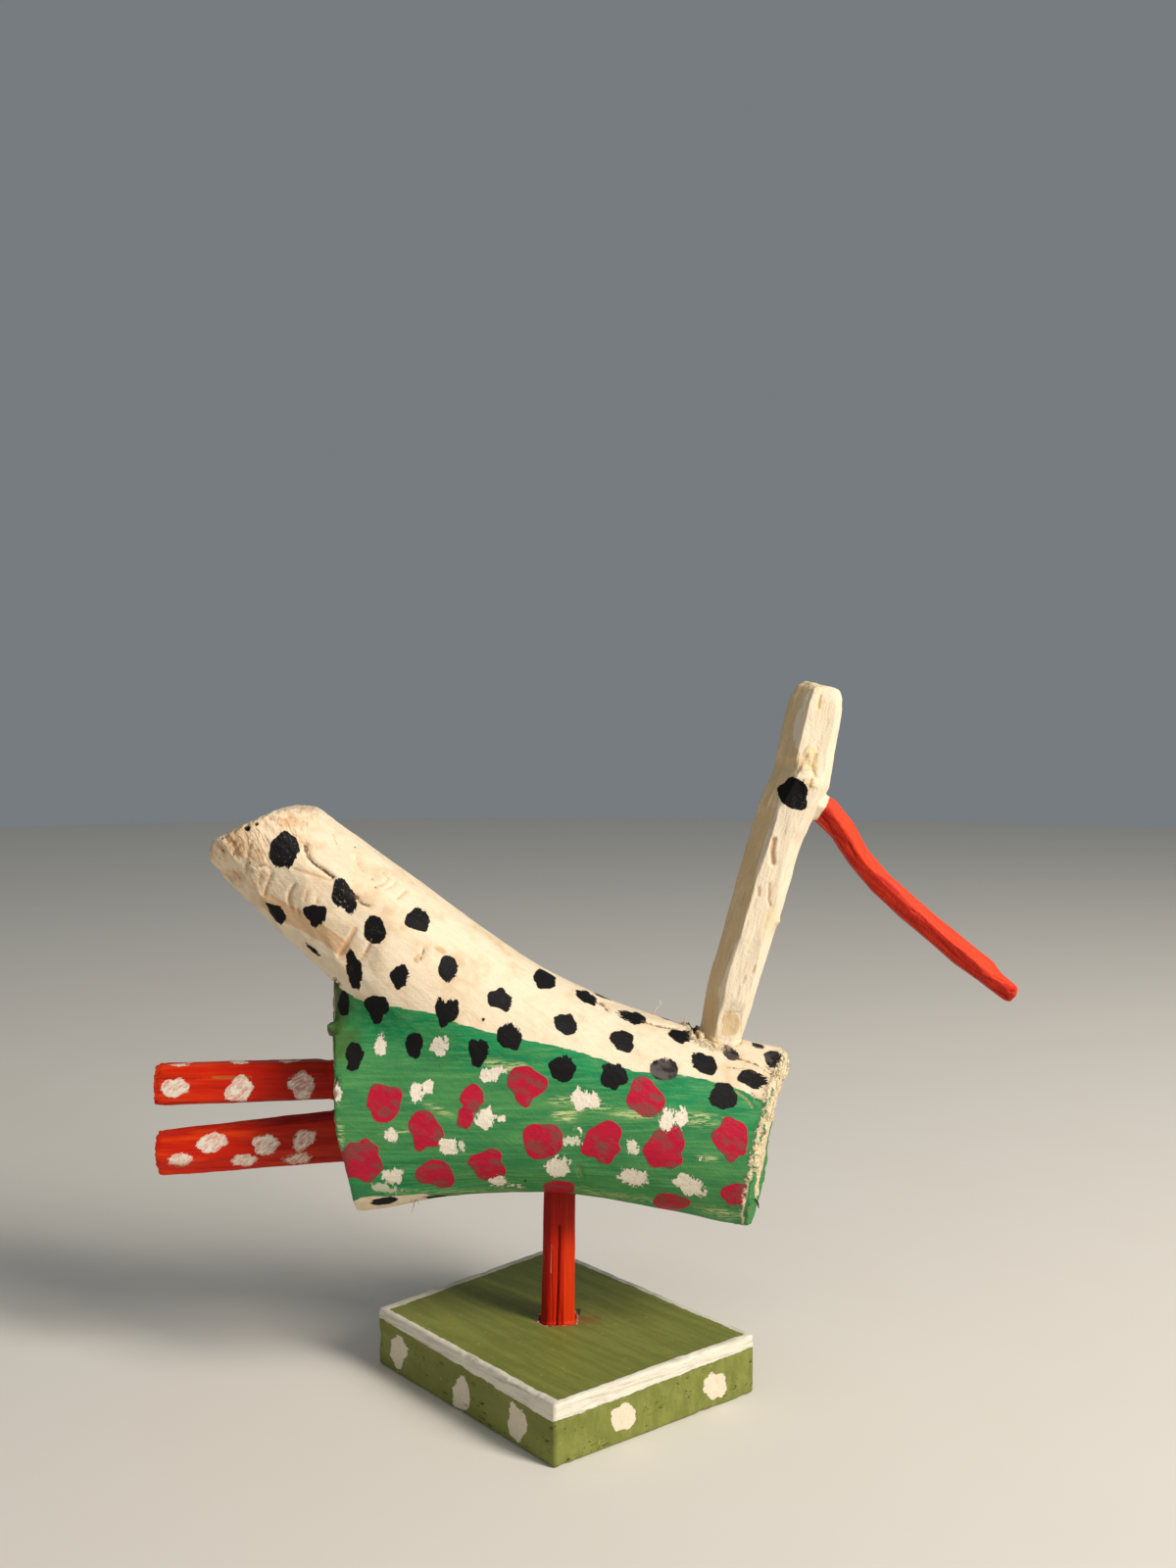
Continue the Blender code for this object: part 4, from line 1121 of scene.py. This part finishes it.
def carve_tail(name, node, marks, streaks, seed, material, swell=0.0):
    stick = Surface(name, node, TAIL_CELL)
    stick.ease(2)
    outside = ramp(distance_to_node(stick.points, "body_branch", 0.006), 0.001, 0.005)
    stick.raise_by(swell * outside * ramp(stick.normals[:, 2], 0.3, 0.8))
    stick.measure()
    stick.brush("white", marks)
    stick.brush("white", shuffled(marks, seed, 12.0, 1.5), BACK)
    low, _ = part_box(node)
    # Painted shade that deepens the red towards the body
    stick.layers["deep"] = ramp(stick.points[:, 0] - low.x, 0.012, 0.054)
    stick.raise_by(0.00012 * fractal(stick.points, (0.016, 0.0024, 0.0024), 3, seed))
    stick.raise_by(-0.00022 * np.abs(fractal(stick.points, (0.030, 0.0014, 0.0014), 2, seed + 1)))
    torn = 1 - ramp(stick.points[:, 0] - low.x, 0.0004, 0.0030)
    tears = np.abs(fractal(stick.points, (0.0030, 0.0013, 0.0013), 2, seed + 2))
    stick.raise_by(-TORN_END_DEPTH * torn * tears)
    stick.hug("body_branch")
    stick.measure()
    stick.cut("bare", streaks)
    for side in (FRONT, BACK):
        stick.cut("crack", TAIL_CRACKS, side)
    stick.finish(material, "red_paint")


def carve_leg():
    leg = Surface("carved_leg", "leg_stick", LEG_CELL)
    leg.ease(2)
    # Painted shade that deepens the red towards the top, under the body
    leg.layers["deep"] = ramp(leg.points[:, 2], 0.042, 0.053)
    upright = along_grain(leg.points, 90.0)
    leg.raise_by(0.00010 * fractal(upright, (0.012, 0.0022, 0.0022), 3, 61))
    leg.raise_by(-0.00020 * np.abs(fractal(upright, (0.026, 0.0011, 0.0011), 2, 63)))
    leg.hug("base_board")
    leg.hug("body_branch")
    leg.measure()
    for side in (FRONT, BACK):
        # Painted shade left of the leg's left arris, and painted light right of its right arris
        leg.cover("left", leg.beside(LEG_LEFT_EDGE, side))
        leg.cover("right", leg.beside(LEG_RIGHT_EDGE, side, -1))
        leg.cut("crack", LEG_CRACKS, side)
        leg.cut("bare", LEG_SLIVER, side)
    leg.finish(leg_finish(), "red_paint")


def board_corners():
    """The corners of the board in plan: left, front, right and back."""
    plan = read(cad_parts["base_board"].data.vertices, "co", 3)[:, :2]
    return [*plan[plan.argmin(axis=0)], *plan[plan.argmax(axis=0)]]


def gouge(board, inset):
    """Scratches short dents along the board's sides."""
    chance = random.Random(73)
    flank = np.flatnonzero((board.layers["flank"] > 0.9) & (board.layers["line"] > 0.001) & (inset < 0.002))
    for _ in range(GOUGE_COUNT):
        place = flank[chance.randrange(len(flank))]
        along = np.cross(board.normals[place], (0, 0, 1)) * chance.uniform(0.0002, 0.0012)
        middle = board.points[place]
        field = distance_to_path(board.points, [middle - along, middle + along]) - 0.00020
        board.cover("pit", field)
        board.raise_by(-GOUGE_DEPTH * (1 - ramp(field, -0.0002, 0.0004)))


def carve_board():
    board = Surface("painted_board", "base_board", BOARD_CELL)
    at_leg = distance_to_node(board.points, "leg_stick", 0.004)
    board.ease(2, ramp(at_leg, 0.0004, 0.0020))
    corners = board_corners()
    _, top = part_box("base_board")
    plan = board.points[:, :2]
    insets = []
    for start, end in zip(corners, corners[1:] + corners[:1]):
        run = (end - start) / np.linalg.norm(end - start)
        insets.append((plan - start) @ np.array([-run[1], run[0]]))
    inset = np.min(insets, axis=0)
    on_top = np.min([gap - line for gap, line in zip(insets, TOP_LINES)], axis=0)
    turns = [math.atan2(y, x) for x, y in corners]
    turns, widths = zip(*sorted(zip(turns, (BAND_LEFT, BAND_FRONT, BAND_RIGHT, BAND_BACK))))
    band = np.interp(np.arctan2(plan[:, 1], plan[:, 0]), turns, widths, period=math.tau)
    board.layers["line"] = np.maximum(on_top, (top.z - board.points[:, 2]) - band)
    board.layers["flank"] = 1 - ramp(np.abs(board.normals[:, 2]), 0.3, 0.7)
    board.layers["ring"] = np.where(board.points[:, 2] > top.z - 0.001, at_leg - RING_WIDTH, FAR)
    board.brush("stain", BOARD_STAINS)
    board.brush("pit", BOARD_CRUMBS)
    board.brush("white", BOARD_DOTS)
    board.brush("white", shuffled(BOARD_DOTS, 71, 10.0, 2.0), BACK, hidden_only=FRONT)
    gouge(board, inset)
    board.raise_by(0.00012 * fractal(board.points, (0.02, 0.004, 0.006), 2, 75))
    worn = (1 - ramp(inset, 0.0005, 0.0020)) * ramp(fractal(board.points, 0.0060, 3, 77), 0.1, 0.9)
    board.raise_by(-EDGE_WEAR * worn)
    board.finish(board_finish(), "base_paint")


def make_floor():
    bpy.ops.mesh.primitive_circle_add(vertices=96, radius=2.5, fill_type="NGON")
    floor = bpy.context.object
    floor.name = "floor"
    surface = Finish("pale_floor", 0.85)
    speckle = surface.noise((0.05, 0.05, 0.05), detail=2)
    surface.done(surface.mix(speckle.spread(0.3, 0.7, 0.0, 0.04), FLOOR, CREAM_DEEP))
    floor.data.materials.append(surface.material)


def make_camera():
    data = bpy.data.cameras.new("camera")
    camera = bpy.data.objects.new("camera", data)
    bpy.context.scene.collection.objects.link(camera)
    camera.location = CAMERA_PLACE
    camera.rotation_euler = (math.radians(90) - CAMERA_DROP, 0.0, 0.0)
    data.sensor_width = SENSOR
    data.lens = FOCAL_PIXELS / PHOTO_HEIGHT * SENSOR
    data.clip_start = 0.01
    bpy.context.scene.camera = camera


def add_light(name, place, width, height, power, colour):
    data = bpy.data.lights.new(name, "AREA")
    data.shape = "RECTANGLE"
    data.size = width
    data.size_y = height
    data.energy = power
    data.color = colour
    lamp = bpy.data.objects.new(name, data)
    lamp.location = place
    lamp.rotation_euler = (Vector((0.0, 0.0, 0.1)) - Vector(place)).to_track_quat("-Z", "Y").to_euler()
    bpy.context.scene.collection.objects.link(lamp)


def make_light():
    add_light("key", (1.13, -0.76, 0.98), width=0.40, height=1.20, power=33.0, colour=(1.0, 0.93, 0.84))
    add_light("fill", (-0.5, -1.3, 0.6), width=1.2, height=1.2, power=1.5, colour=(1.0, 0.93, 0.88))
    world = bpy.data.worlds.new("studio")
    bpy.context.scene.world = world
    world.use_nodes = True
    background = world.node_tree.nodes["Background"]
    background.inputs["Color"].default_value = BACKGROUND
    background.inputs["Strength"].default_value = 1.0
    bpy.context.scene.view_settings.view_transform = "Standard"


make_camera()
make_light()
make_floor()
carve_body()
carve_neck()
red = red_finish()
carve_tail("carved_tail_upper", "tail_stick_upper", UPPER_TAIL_DABS, UPPER_TAIL_STREAKS, 81, red,
           UPPER_TAIL_SWELL)
carve_tail("carved_tail_lower", "tail_stick_lower", LOWER_TAIL_DABS, LOWER_TAIL_STREAKS, 91, red)
carve_leg()
carve_board()
